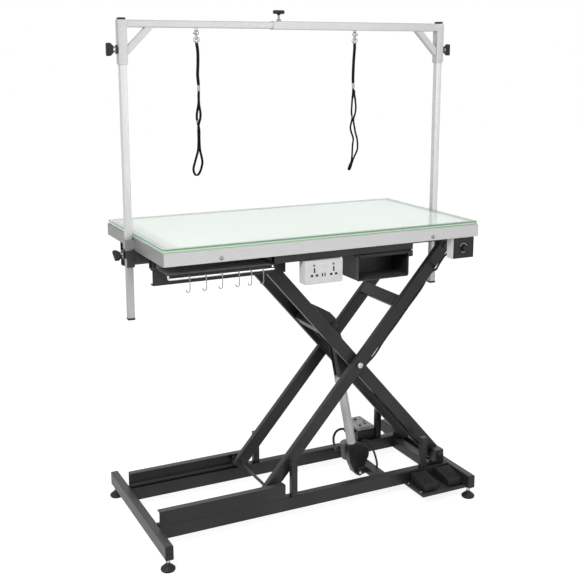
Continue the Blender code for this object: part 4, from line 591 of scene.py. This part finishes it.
def lathe(name, place, axis, profile, finish, body, sides=32, closed=False, waves=0, depth=0.0):
    """A profile of (distance along the axis, radius) turned round an axis through a place. Waves is
    the number of flutes round it, and depth their share of the radius."""
    way = np.array(axis, float)
    way /= np.linalg.norm(way)
    first = np.cross(way, np.eye(3)[np.abs(way).argmin()])
    first /= np.linalg.norm(first)
    second = np.cross(way, first)
    t = np.arange(sides) * 2 * pi / sides
    ripple = 1 - depth * (0.5 + 0.5 * np.cos(waves * t))
    ring = np.cos(t)[:, None] * first + np.sin(t)[:, None] * second
    profile = np.asarray(profile, float)
    spread = profile[:, 1:, None] * (ripple[:, None] * ring)
    grid = np.array(place, float) + profile[:, :1, None] * way + spread
    return skin(name, grid, finish, body, closed)


def slab(name, low, high, axis, radius, edge, finish, body):
    """Block between two corners with round corners seen along an axis and quarter-round edges."""
    low, high = np.array(low, float), np.array(high, float)
    order = {"X": (1, 2, 0), "Y": (2, 0, 1), "Z": (0, 1, 2)}[axis]
    size = (high - low)[list(order)]
    centre = ((low + high) / 2)[list(order)]
    t = np.linspace(0, pi / 2, 4)
    inset, rise = edge * (1 - np.sin(t)), edge * (1 - np.cos(t))
    inset = np.concatenate([inset, inset[::-1]])
    rise = np.concatenate([rise, size[2] - rise[::-1]])
    rows = []
    for shrink, up in zip(inset, rise):
        outline = rounded(size[0] - 2 * shrink, size[1] - 2 * shrink, max(radius - shrink, 0.0001))
        level = np.full(len(outline), centre[2] - size[2] / 2 + up)
        flat = np.column_stack([outline + centre[:2], level])
        row = np.empty_like(flat)
        row[:, list(order)] = flat
        rows.append(row)
    return skin(name, rows, finish, body)


def tie(name, path, at, radius, body):
    """Short collar round a cable, at a share of its path."""
    k = min(len(path) - 2, max(1, round(at * (len(path) - 1))))
    way = path[k + 1] - path[k - 1]
    half = 0.0022
    ring = [(-half, radius), (-half, radius + 0.0012), (half, radius + 0.0012), (half, radius)]
    return lathe(name, path[k], way, ring, "cable", body, 20, closed=True)


# ---------------------------------------------------------------- cords
LEFT_NOOSE_ROUTE = (
    (0.000, 0.000, 0.000),
    (0.004, 0.000, -0.030),
    (0.004, 0.000, -0.070),
    (0.002, 0.000, -0.110),
    (0.005, 0.001, -0.146),
    (0.006, 0.003, -0.170),
    (0.006, 0.004, -0.195),
    (0.004, 0.005, -0.218),
    (-0.001, 0.005, -0.242),
    (-0.002, 0.005, -0.262),
    (0.002, 0.005, -0.282),
    (0.006, 0.005, -0.304),
    (0.006, 0.005, -0.340),
    (0.008, 0.005, -0.376),
    (0.013, 0.004, -0.400),
    (0.015, 0.003, -0.420),
    (0.010, 0.002, -0.441),
    (0.001, 0.000, -0.458),
    (-0.010, -0.001, -0.4645),
    (-0.019, -0.002, -0.454),
    (-0.021, -0.003, -0.437),
    (-0.013, -0.004, -0.408),
    (-0.004, -0.005, -0.376),
    (-0.001, -0.005, -0.340),
    (-0.001, -0.005, -0.304),
    (0.001, -0.005, -0.282),
    (0.007, -0.005, -0.262),
    (0.008, -0.005, -0.242),
    (0.004, -0.005, -0.218),
    (0.002, -0.006, -0.195),
    (0.001, -0.007, -0.176),
)
RIGHT_NOOSE_ROUTE = (
    (0.000, 0.000, 0.000),
    (0.000, 0.000, -0.020),
    (-0.003, 0.000, -0.062),
    (-0.005, 0.000, -0.118),
    (-0.004, 0.001, -0.146),
    (-0.002, 0.003, -0.167),
    (-0.002, 0.004, -0.185),
    (-0.004, 0.005, -0.205),
    (-0.006, 0.005, -0.233),
    (-0.007, 0.005, -0.258),
    (-0.004, 0.005, -0.282),
    (-0.008, 0.005, -0.299),
    (-0.011, 0.005, -0.317),
    (-0.006, 0.005, -0.336),
    (0.002, 0.005, -0.358),
    (0.000, 0.006, -0.385),
    (-0.001, 0.007, -0.422),
    (-0.003, 0.009, -0.446),
    (-0.0100, 0.0105, -0.4620),
    (-0.0150, 0.0082, -0.4735),
    (-0.0180, 0.0000, -0.4785),
    (-0.0180, -0.0082, -0.4735),
    (-0.0150, -0.0105, -0.4620),
    (-0.009, -0.009, -0.446),
    (0.000, -0.007, -0.428),
    (0.013, -0.006, -0.404),
    (0.016, -0.005, -0.385),
    (0.013, -0.005, -0.358),
    (0.006, -0.005, -0.336),
    (0.001, -0.005, -0.313),
    (-0.003, -0.005, -0.294),
    (-0.003, -0.005, -0.280),
    (0.003, -0.005, -0.262),
    (0.006, -0.005, -0.240),
    (0.003, -0.005, -0.210),
    (-0.002, -0.006, -0.190),
    (-0.003, -0.007, -0.174),
)
# From the back of the control housing down to the front arm, then a little way under it.
DIMMER_CABLE_ROUTE = (
    (0.5240, -0.2842, 1.0005),
    (0.5240, -0.2740, 1.0005),
    (0.5290, -0.2450, 0.9840),
    (0.5400, -0.2050, 0.9530),
    (0.5520, -0.1720, 0.9280),
    (0.5600, -0.1500, 0.9100),
    (0.5565, -0.1390, 0.9040),
    (0.5450, -0.1365, 0.8955),
    (0.5278, -0.1365, 0.8762),
)
# Slack loop from the top of the drive's housing down to the cross bar on its right.
DRIVE_CABLE_ROUTE = (
    (0.3213, 0.0000, 0.1644),
    (0.3254, 0.0000, 0.1735),
    (0.3352, -0.0080, 0.1800),
    (0.3510, -0.0205, 0.1650),
    (0.3590, -0.0420, 0.1260),
    (0.3590, -0.0600, 0.0940),
    (0.3575, -0.0600, 0.0758),
)
# Round the front of the middle pivot, from the outer arm's underside to the inner arm's.
PIVOT_LOOP_ROUTE = (
    (0.2381, -0.1365, 0.5451),
    (0.2250, -0.1365, 0.5302),
    (0.2150, -0.1345, 0.5120),
    (0.2135, -0.1270, 0.4900),
    (0.2240, -0.1180, 0.4680),
    (0.2480, -0.1110, 0.4500),
    (0.2760, -0.1095, 0.4360),
    (0.3057, -0.1095, 0.4170),
)
# Off the end of the front inner arm and down on to the bar that joins the rails.
BASE_LOOP_ROUTE = (
    (0.5231, -0.1095, 0.1688),
    (0.5420, -0.1095, 0.1460),
    (0.5550, -0.1095, 0.1210),
    (0.5660, -0.1095, 0.1020),
    (0.5800, -0.1095, 0.0920),
    (0.5950, -0.1095, 0.0876),
)
# From the power supply's left side round to the top of the drive's motor.
MOTOR_CABLE_ROUTE = (
    (0.4045, 0.2050, 0.1300),
    (0.3900, 0.2050, 0.1320),
    (0.3600, 0.2000, 0.1470),
    (0.3270, 0.1930, 0.1560),
    (0.3000, 0.1830, 0.1520),
    (0.2790, 0.1650, 0.1390),
    (0.2660, 0.1400, 0.1270),
    (0.2570, 0.1120, 0.1200),
    (0.2440, 0.0840, 0.1210),
    (0.2360, 0.0640, 0.1300),
    (0.2440, 0.0500, 0.1440),
)


def noose(side, route, exit_x, twist):
    """Woven band carried from the snap hook down through its slider and round the neck loop. Twist
    is the share of a right angle by which it has turned below the slider, and above it the band is
    28 % wider. The slider thins with the sixth power of the distance from its middle and has three
    ripples. Two rings of round wire and a thumb pin are turned round their own axes above it."""
    body = f"noose_{side}"
    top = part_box(f"noose_{side}_strap")[1].z
    path = smooth(np.array(route) + (exit_x, 0, top))
    drop = top - path[:, 2]
    turn = radians(-26) + radians(90) * twist * np.clip((drop - 0.165) / 0.05, 0, 1)
    facing = np.stack([np.cos(turn), np.sin(turn), 0 * turn], -1)
    width = 1 + 0.28 * np.clip((0.150 - drop) / 0.010, 0, 1)
    outline = rounded(*BAND, 0.0007, 2)
    band = carried(f"noose band {side}", path, outline, "webbing", body, facing, width)
    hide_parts(f"noose_{side}_strap")
    t = np.linspace(0, 1, 17)
    coarse = np.linspace(0, 1, SLIDER_POINTS.stop - SLIDER_POINTS.start)
    sleeve = np.stack([np.interp(t, coarse, path[SLIDER_POINTS, k]) for k in range(3)], -1)
    swell = 1 - 0.16 * (2 * t - 1) ** 6 - 0.05 * np.cos(t * 6 * pi)
    outline = rounded(0.0104, 0.0046, 0.0016)
    flat = facing[SLIDER_POINTS.start]
    slider = carried(f"slider {side}", sleeve, outline, "pale plastic", body, flat, swell)
    outline = rounded(0.0100, 0.0040, 0.0014)
    flat = facing[CLASP_POINTS.start]
    clasp = carried(f"clasp {side}", path[CLASP_POINTS], outline, "pale plastic", body, flat)
    spot = path[0] + (0, 0, 0.0098 if side == "right" else 0.0102)
    for name, radius, up in (("ring", 0.0100, 0.0), ("claw", 0.0078, 0.0232)):
        wire = circle(0.0013, 12)[:, ::-1] + (0, radius)
        place = spot + (0, 0, up)
        lathe(f"{name} {side}", place, (0.45, 0.89, 0), wire, "hook steel", body, 40, closed=True)
    pin = [(0.001, 0.0012), (0.0095, 0.0012), (0.0105, 0.0021), (0.0130, 0.0021), (0.0138, 0.0010)]
    out = 1 if side == "right" else -1
    lathe(f"thumb pin {side}", spot + (0, 0, 0.0190), (out, 0, 0.25), pin, "hook steel", body, 16)


def cable(name, route, radius, bodies, bend=None, replaces=None):
    """Round cable that rides on the first body, or is left on no body where bend is given."""
    path = smooth(route)
    piece = carried(name, path, circle(radius, 14), "cable", None if bend else bodies[0])
    if bend:
        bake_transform(piece)
    if replaces:
        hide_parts(replaces)
    return path


def beside_arm(middle, way, side, start, end, y, out=0.0, slack=0.0):
    """Points along one side of an arm from one distance off its middle bolt to another. They sag
    between the ties by a squared sine with three arches and near the bolt by one with one arch, and
    all but the ends are moved out along Y."""
    t = np.linspace(start, end, 24)
    sag = ARM_GAP + 0.0012 * np.sin((t - start) / (end - start) * 3 * pi) ** 2
    sag = sag + slack * np.sin(np.clip((t - 0.018) / 0.118, 0, 1) * pi) ** 2
    y = y + out * np.clip(np.minimum(abs(t - start), abs(t - end)) / 0.05, 0, 1)
    x = middle[0] + t * way[0] + sag * side[0]
    z = middle[1] + t * way[1] + sag * side[1]
    return np.column_stack([x, y, z])


def taper(name, start, way, length, wide, narrow, body):
    """Sleeve whose radius falls evenly from a housing to the cable that leaves it, less five
    ripples of half a millimetre."""
    t = np.linspace(0, 1, 25)
    radius = wide + (narrow - wide) * t - 0.0005 * (0.5 - 0.5 * np.cos(t * 5 * 2 * pi))
    return lathe(name, start, way, np.column_stack([t * length, radius]), "cable", body, 20)


def cords():
    """Both nooses, the cables with their ties along the arms, and the sleeves at their ends."""
    noose("left", LEFT_NOOSE_ROUTE, -0.373, 0.1)
    noose("right", RIGHT_NOOSE_ROUTE, 0.262, 0.42)
    middle = JOINT["arms_cross"]["pos_m"][::2]
    rise, below = (0.6585, 0.7525), (0.7525, -0.6585)
    fall, beneath = (0.6585, -0.7525), (-0.7525, -0.6585)
    first = cable(
        "control cable",
        DIMMER_CABLE_ROUTE,
        CABLE_RADIUS,
        ("table", "outer_arms"),
        (DIMMER_CABLE_ROUTE[3], DIMMER_CABLE_ROUTE[6]),
        "dimmer_cable",
    )
    outer = beside_arm(middle, rise, below, 0.4395, 0.0002, OUTER_ARM_Y, -0.0078, 0.0028)
    outer = cable("outer arm cable", outer, CABLE_RADIUS, ("outer_arms",))
    cable(
        "pivot loop cable",
        PIVOT_LOOP_ROUTE,
        CABLE_RADIUS,
        ("outer_arms", "inner_arms"),
        (PIVOT_LOOP_ROUTE[1], PIVOT_LOOP_ROUTE[5]),
    )
    inner = beside_arm(middle, fall, beneath, 0.1702, 0.4995, INNER_ARM_Y)
    inner = cable("inner arm cable", inner, CABLE_RADIUS, ("inner_arms",))
    cable(
        "base loop cable",
        BASE_LOOP_ROUTE,
        CABLE_RADIUS,
        ("inner_arms", "base"),
        (BASE_LOOP_ROUTE[0], BASE_LOOP_ROUTE[4]),
    )
    drive = cable(
        "drive supply cable",
        DRIVE_CABLE_ROUTE,
        0.0042,
        ("lift_drive", "base"),
        (DRIVE_CABLE_ROUTE[1], DRIVE_CABLE_ROUTE[5]),
        "drive_cable",
    )
    motor = cable(
        "motor cable",
        MOTOR_CABLE_ROUTE,
        0.0052,
        ("base", "lift_drive"),
        (MOTOR_CABLE_ROUTE[2], MOTOR_CABLE_ROUTE[9]),
    )
    for number, at in enumerate((0.02, 0.35, 0.68, 0.965)):
        tie(f"outer arm tie {number}", outer, at, ARM_TIE_RADIUS, "outer_arms")
    for number, at in enumerate((0.03, 0.35, 0.67, 0.97)):
        tie(f"inner arm tie {number}", inner, at, ARM_TIE_RADIUS, "inner_arms")
    start = first[0] + (0, -0.0006, 0)
    taper("control relief", start, (0, 1, 0), 0.016, 0.0068, 0.0050, "table")
    start, way = drive[0] - 0.003 * LIFT_WAY, drive[1] - drive[0]
    taper("drive relief", start, way, 0.013, 0.0062, 0.0046, "lift_drive")
    start = motor[0] + (0.0006, 0, 0)
    taper("supply relief", start, (-1, 0, 0), 0.014, 0.0072, 0.0056, "base")
    start, way = motor[-1] + (0.006, -0.001, -0.004), motor[-2] - motor[-1]
    taper("motor relief", start, way, 0.015, 0.0072, 0.0056, "lift_drive")


cords()


# ---------------------------------------------------------------- the frame's own pieces
def dress(node, finish, edge=0.0):
    """Gives a CAD piece its finish, and rounds its edges a little or keeps its corners sharp."""
    piece = frame["nodes"][node]
    piece.data.materials.clear()
    piece.data.materials.append(FINISH[finish])
    piece.data.polygons.foreach_set("use_smooth", np.ones(len(piece.data.polygons), bool))
    weld = piece.modifiers.new("weld", "WELD")
    weld.merge_threshold = 0.00002
    if edge:
        bevel = piece.modifiers.new("edge", "BEVEL")
        bevel.width = edge
        bevel.segments = 2
        bevel.limit_method = "ANGLE"
        bevel.angle_limit = SPLIT_ANGLE
    else:
        piece.modifiers.new("corners", "EDGE_SPLIT").split_angle = SPLIT_ANGLE
    normals = piece.modifiers.new("normals", "WEIGHTED_NORMAL")
    normals.keep_sharp = True


LOOKS = {
    "rail": "base_rail_front base_rail_back",
    "shelf": "accessory_bar",
    "black": """base_tube_left base_tube_right lift_bar pedal_tray
        outer_arm_front outer_arm_back outer_arm_tie inner_arm_front inner_arm_back lift_bracket
        subframe_rail_front subframe_rail_back storage_bin""",
    "dark steel": "clamp_left clamp_right lower_axle lift_rod",
    "foot": "foot_front_left foot_back_left foot_front_right foot_back_right",
    "black plastic": "roller_lower_front roller_lower_back roller_upper_front roller_upper_back",
    "clamp knob": "clamp_knob_left clamp_knob_right",
    "sleeve knob": "sleeve_knob_left sleeve_knob_right",
    "tee knob": "tee_knob",
    "chrome": "hook_rail",
    "hook steel": """s_hook_1 s_hook_2 s_hook_3 s_hook_4 s_hook_5 s_hook_6
        noose_left_clip noose_right_clip""",
    "gate": "gate_post_left gate_post_right",
    "crossbar": "crossbar_left crossbar_right",
    "rubber": "pedal_up pedal_down",
    "power": "power_box",
    "drive": "lift_body",
    "light": "light_panel",
    "stainless": "table_frame",
    "housing": "dimmer_box",
    "dial": "dimmer_dial",
    "white": "socket_box",
    "glass": "glass_top",
}
for finish, nodes in LOOKS.items():
    for node in nodes.split():
        dress(node, finish, EDGE_ROUND if finish in ("black", "rail", "shelf") else 0)


# ---------------------------------------------------------------- glass and frame
def frame_band(name, node, profile, radius, finish, body):
    """Closed band round a CAD piece. Its profile is (distance outside it, height above its top)."""
    low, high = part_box(node)
    rows = []
    for out, up in profile:
        wide = rounded(high.x - low.x + 2 * out, high.y - low.y + 2 * out, radius + out, 6)
        rows.append(np.column_stack([wide, np.full(len(wide), high.z + up)]))
    return skin(name, rows, finish, body, closed=True)


def bolt(name, place, axis, radius, height, finish, body):
    """Bolt head with a rounded rim and a socket sunk in it."""
    profile = [
        (-0.0005, radius),
        (height * 0.55, radius),
        (height * 0.85, radius * 0.93),
        (height, radius * 0.78),
        (height, radius * 0.45),
        (height * 0.4, radius * 0.38),
    ]
    return lathe(name, place, axis, profile, finish, body, 36)


def table_details():
    """Thin green band round the glass's edge, and the frame's screws."""
    frame_band(
        "glass edge",
        "glass_top",
        [(0.0003, -0.0097), (0.0003, -0.0003), (-0.0005, -0.0003), (-0.0005, -0.0097)],
        0.012,
        "edge",
        "table",
    )
    for number, x in enumerate(SCREW_X):
        for side in (-1, 1):
            name, place = f"frame screw {number} {side}", (x, side * SCREW_Y, SCREW_Z)
            bolt(name, place, (0, side, 0), 0.0074, 0.0026, "hook steel", "table")


def pivot_details():
    """Bolt heads in the middle of the arms."""
    x, _, z = JOINT["arms_cross"]["pos_m"]
    for name, side in (("front", -1), ("back", 1)):
        place = (x, 0.1545 * side, z)
        bolt(f"middle bolt {name}", place, (0, side, 0), 0.0112, 0.005, "zinc", "outer_arms")


def feet_details():
    """Nuts on the feet's stems and plugs in the base tubes' ends."""
    for node in ("foot_front_left", "foot_back_left", "foot_front_right", "foot_back_right"):
        low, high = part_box(node)
        x, y = (low.x + high.x) / 2, (low.y + high.y) / 2
        nut = [(-0.003, 0.0088), (-0.0024, 0.0098), (0.0024, 0.0098), (0.003, 0.0088)]
        place = (x, y, 0.0385)
        lathe(f"{node} nut", place, (0, 0, 1), nut, "zinc", node, 36, waves=6, depth=0.13)
    for node in ("base_tube_left", "base_tube_right"):
        low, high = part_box(node)
        for side, y in ((-1, low.y), (1, high.y)):
            near, far = sorted((y - side * 0.001, y + side * 0.0024))
            slab(
                f"{node} plug {side}",
                (low.x + 0.0006, near, low.z + 0.0006),
                (high.x - 0.0006, far, high.z - 0.0006),
                "Y",
                0.003,
                0.0009,
                "black plastic",
                "base",
            )


def gate_details():
    """Caps on the sleeves, washers under the knobs and feet on the posts."""
    for side in ("left", "right"):
        low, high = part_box(f"gate_post_{side}")
        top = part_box(f"crossbar_{side}")[1].z
        x = (low.x + high.x) / 2
        slab(
            f"sleeve cap {side}",
            (x - 0.0125, -0.0125, top - 0.0004),
            (x + 0.0125, 0.0125, top + 0.0072),
            "Z",
            0.003,
            0.0016,
            "black plastic",
            "gate_bar",
        )
        out = -1 if side == "left" else 1
        for level, body in (("sleeve", "gate_bar"), ("clamp", "table")):
            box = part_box(f"{level}_knob_{side}")
            z = (box[0].z + box[1].z) / 2
            face = JOINT[f"{level}_knob_{side}_turn"]["pos_m"][0]
            washer = [(0.0062, 0.0146), (0.0068, 0.0154), (0.0086, 0.0154), (0.0092, 0.0140)]
            name, place = f"{level} washer {side}", (face, 0, z)
            lathe(name, place, (out, 0, 0), washer, "black plastic", body)
        slab(
            f"post foot {side}",
            (low.x - 0.0006, low.y - 0.0006, low.z - 0.004),
            (high.x + 0.0006, high.y + 0.0006, low.z + 0.004),
            "Z",
            0.003,
            0.0012,
            "black plastic",
            "gate",
        )


def socket_details():
    """Lamps, dark slabs in the slots for the pins and for charging that are painted shade in those
    openings, and the raised plate between them.
    """
    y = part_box("socket_box")[0].y
    lens = [(-0.001, 0.0042), (0.0008, 0.0040), (0.0014, 0.0026)]
    holes = (
        (0, 1.0036, 0.0058, 0.0165),
        (-0.0098, 0.9856, 0.0095, 0.0078),
        (0.0098, 0.9856, 0.0095, 0.0078),
    )
    for number, x in enumerate(SOCKET_X):
        place = (x - 0.002, y, 1.0222)
        lathe(f"socket lamp {number}", place, (0, -1, 0), lens, "red plastic", "table", 20)
        for hole, (aside, z, wide, tall) in enumerate(holes):
            slab(
                f"pin slot {number} {hole}",
                (x + aside - wide / 2, y - 0.0003, z - tall / 2),
                (x + aside + wide / 2, y + 0.0040, z + tall / 2),
                "Y",
                0.0008,
                0.0003,
                "painted hole shade and black plug",
                "table",
            )
    for number, x in enumerate(CHARGING_X):
        slab(
            f"charging slot {number}",
            (x - 0.0024, y - 0.0003, 0.9800),
            (x + 0.0024, y + 0.0020, 0.9925),
            "Y",
            0.0010,
            0.0003,
            "painted hole shade and black plug",
            "table",
        )
    slab(
        "socket badge",
        (-0.052, y - 0.0007, 1.0150),
        (-0.022, y + 0.0020, 1.0265),
        "Y",
        0.0030,
        0.0006,
        "white",
        "table",
    )


def bin_details():
    """Turned-over edges of the opening, the slide above it and the slide's catch."""
    low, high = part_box("storage_bin")
    front = low.y - 0.0012
    for name, near, far, axis, finish in (
        (
            "bin flange left",
            (low.x - 0.0008, front, low.z + 0.004),
            (low.x + 0.0052, low.y + 0.010, high.z - 0.003),
            "Z",
            "satin black",
        ),
        (
            "bin flange right",
            (high.x - 0.0040, front, low.z + 0.004),
            (high.x + 0.0006, low.y + 0.006, high.z - 0.008),
            "Z",
            "satin black",
        ),
        (
            "bin lip",
            (low.x + 0.004, front, low.z - 0.0006),
            (high.x - 0.004, low.y + 0.008, low.z + 0.0036),
            "X",
            "satin black",
        ),
        (
            "bin slide",
            (low.x + 0.010, low.y + 0.001, high.z - 0.010),
            (high.x + 0.0155, low.y + 0.060, high.z + 0.0008),
            "X",
            "black plastic",
        ),
        (
            "bin catch",
            (high.x - 0.004, low.y - 0.0015, high.z - 0.021),
            (high.x + 0.017, low.y + 0.020, high.z + 0.0006),
            "X",
            "black plastic",
        ),
    ):
        slab(name, near, far, axis, 0.0012, 0.0006, finish, "table")


def control_details():
    """Two printed arcs of a circle round the dial, the dial's fluted grip and the mark on it."""
    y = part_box("dimmer_box")[0].y - 0.0001
    line = rounded(0.0006, 0.0018, 0.00025, 2)
    for name, radius, start, end in (("upper", 0.0168, 22, 162), ("lower", 0.0172, 242, 300)):
        a = np.radians(np.linspace(start, end, 40))
        x, z = DIAL.x + radius * np.cos(a), DIAL.z + radius * np.sin(a)
        path = np.column_stack([x, np.full(40, y), z])
        carried(f"dial arc {name}", path, line, "white print", "table", (0, 1, 0))
    profile = [
        (-0.002, 0.0122),
        (0.0045, 0.0118),
        (0.0090, 0.0108),
        (0.0121, 0.0098),
        (0.0127, 0.0080),
    ]
    rib_grey_with_painted_shade = lathe(
        "dial grip", DIAL, (0, -1, 0), profile, "dial", "dimmer_dial", 72, waves=18, depth=0.05
    )
    path = [(DIAL.x, DIAL.y - 0.0125, DIAL.z + up) for up in (0.001, 0.003, 0.005, 0.0075)]
    line = rounded(0.0014, 0.0008, 0.0003, 2)
    carried("dial mark", path, line, "white print", "dimmer_dial", (1, 0, 0))


def pedal_details():
    """Straight ribs across each pedal's sloping top, evenly spaced. They narrow to half their size
    with the eighth power of the distance from their middle."""
    outline = rounded(0.0036, 0.0030, 0.0012, 3)
    ends = 1 - 0.5 * np.abs(np.linspace(-1, 1, 9)) ** 8
    for node in ("pedal_up", "pedal_down"):
        low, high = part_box(node)
        for number, t in enumerate(np.linspace(0.16, 0.86, 7)):
            y = high.y - 0.006 + (low.y + 0.010 - high.y) * t
            z = high.z + (0.080 - high.z) * t
            spread = np.linspace(low.x + 0.006, high.x - 0.006, 9)
            path = np.column_stack([spread, np.full(9, y), np.full(9, z)])
            carried(f"{node} rib {number}", path, outline, "rubber", node, (0, 1, 0), ends)


def tray_details():
    """Screws that hold the pedal tray."""
    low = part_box("pedal_tray")[0]
    for number, (x, y) in enumerate(((0.0060, 0.1115), (0.0060, 0.0240), (0.0600, 0.1260))):
        place = (low.x + x, low.y + y, 0.057)
        bolt(f"tray screw {number}", place, (0, 0, 1), 0.0036, 0.0022, "zinc", "base")


def supply_details():
    """Blanking plugs on the power supply's lid, and the seams along its sides."""
    low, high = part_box("power_box")
    plugs = (
        (0.024, 0.024, 0.0062),
        (0.040, 0.092, 0.0078),
        (0.056, 0.036, 0.0048),
        (0.064, 0.060, 0.0048),
    )
    for number, (x, y, radius) in enumerate(plugs):
        cap = [(-0.002, radius), (0.0012, radius), (0.0022, radius * 0.86), (0.0016, radius * 0.5)]
        place = (low.x + x, low.y + y, high.z)
        lathe(f"supply plug {number}", place, (0, 0, 1), cap, "painted hole shade and black plug", "base", 24)
    outline = rounded(0.003, 0.0022, 0.0009, 2)
    along = np.linspace(low.y + 0.004, high.y - 0.004, 12)
    for side, x in ((0, low.x + 0.004), (1, high.x - 0.004)):
        path = np.column_stack([np.full(12, x), along, np.full(12, high.z + 0.0004)])
        carried(f"supply seam {side}", path, outline, "zinc", "base", (1, 0, 0))


table_details()
socket_details()
bin_details()
control_details()
pedal_details()
tray_details()
supply_details()
pivot_details()
feet_details()
gate_details()
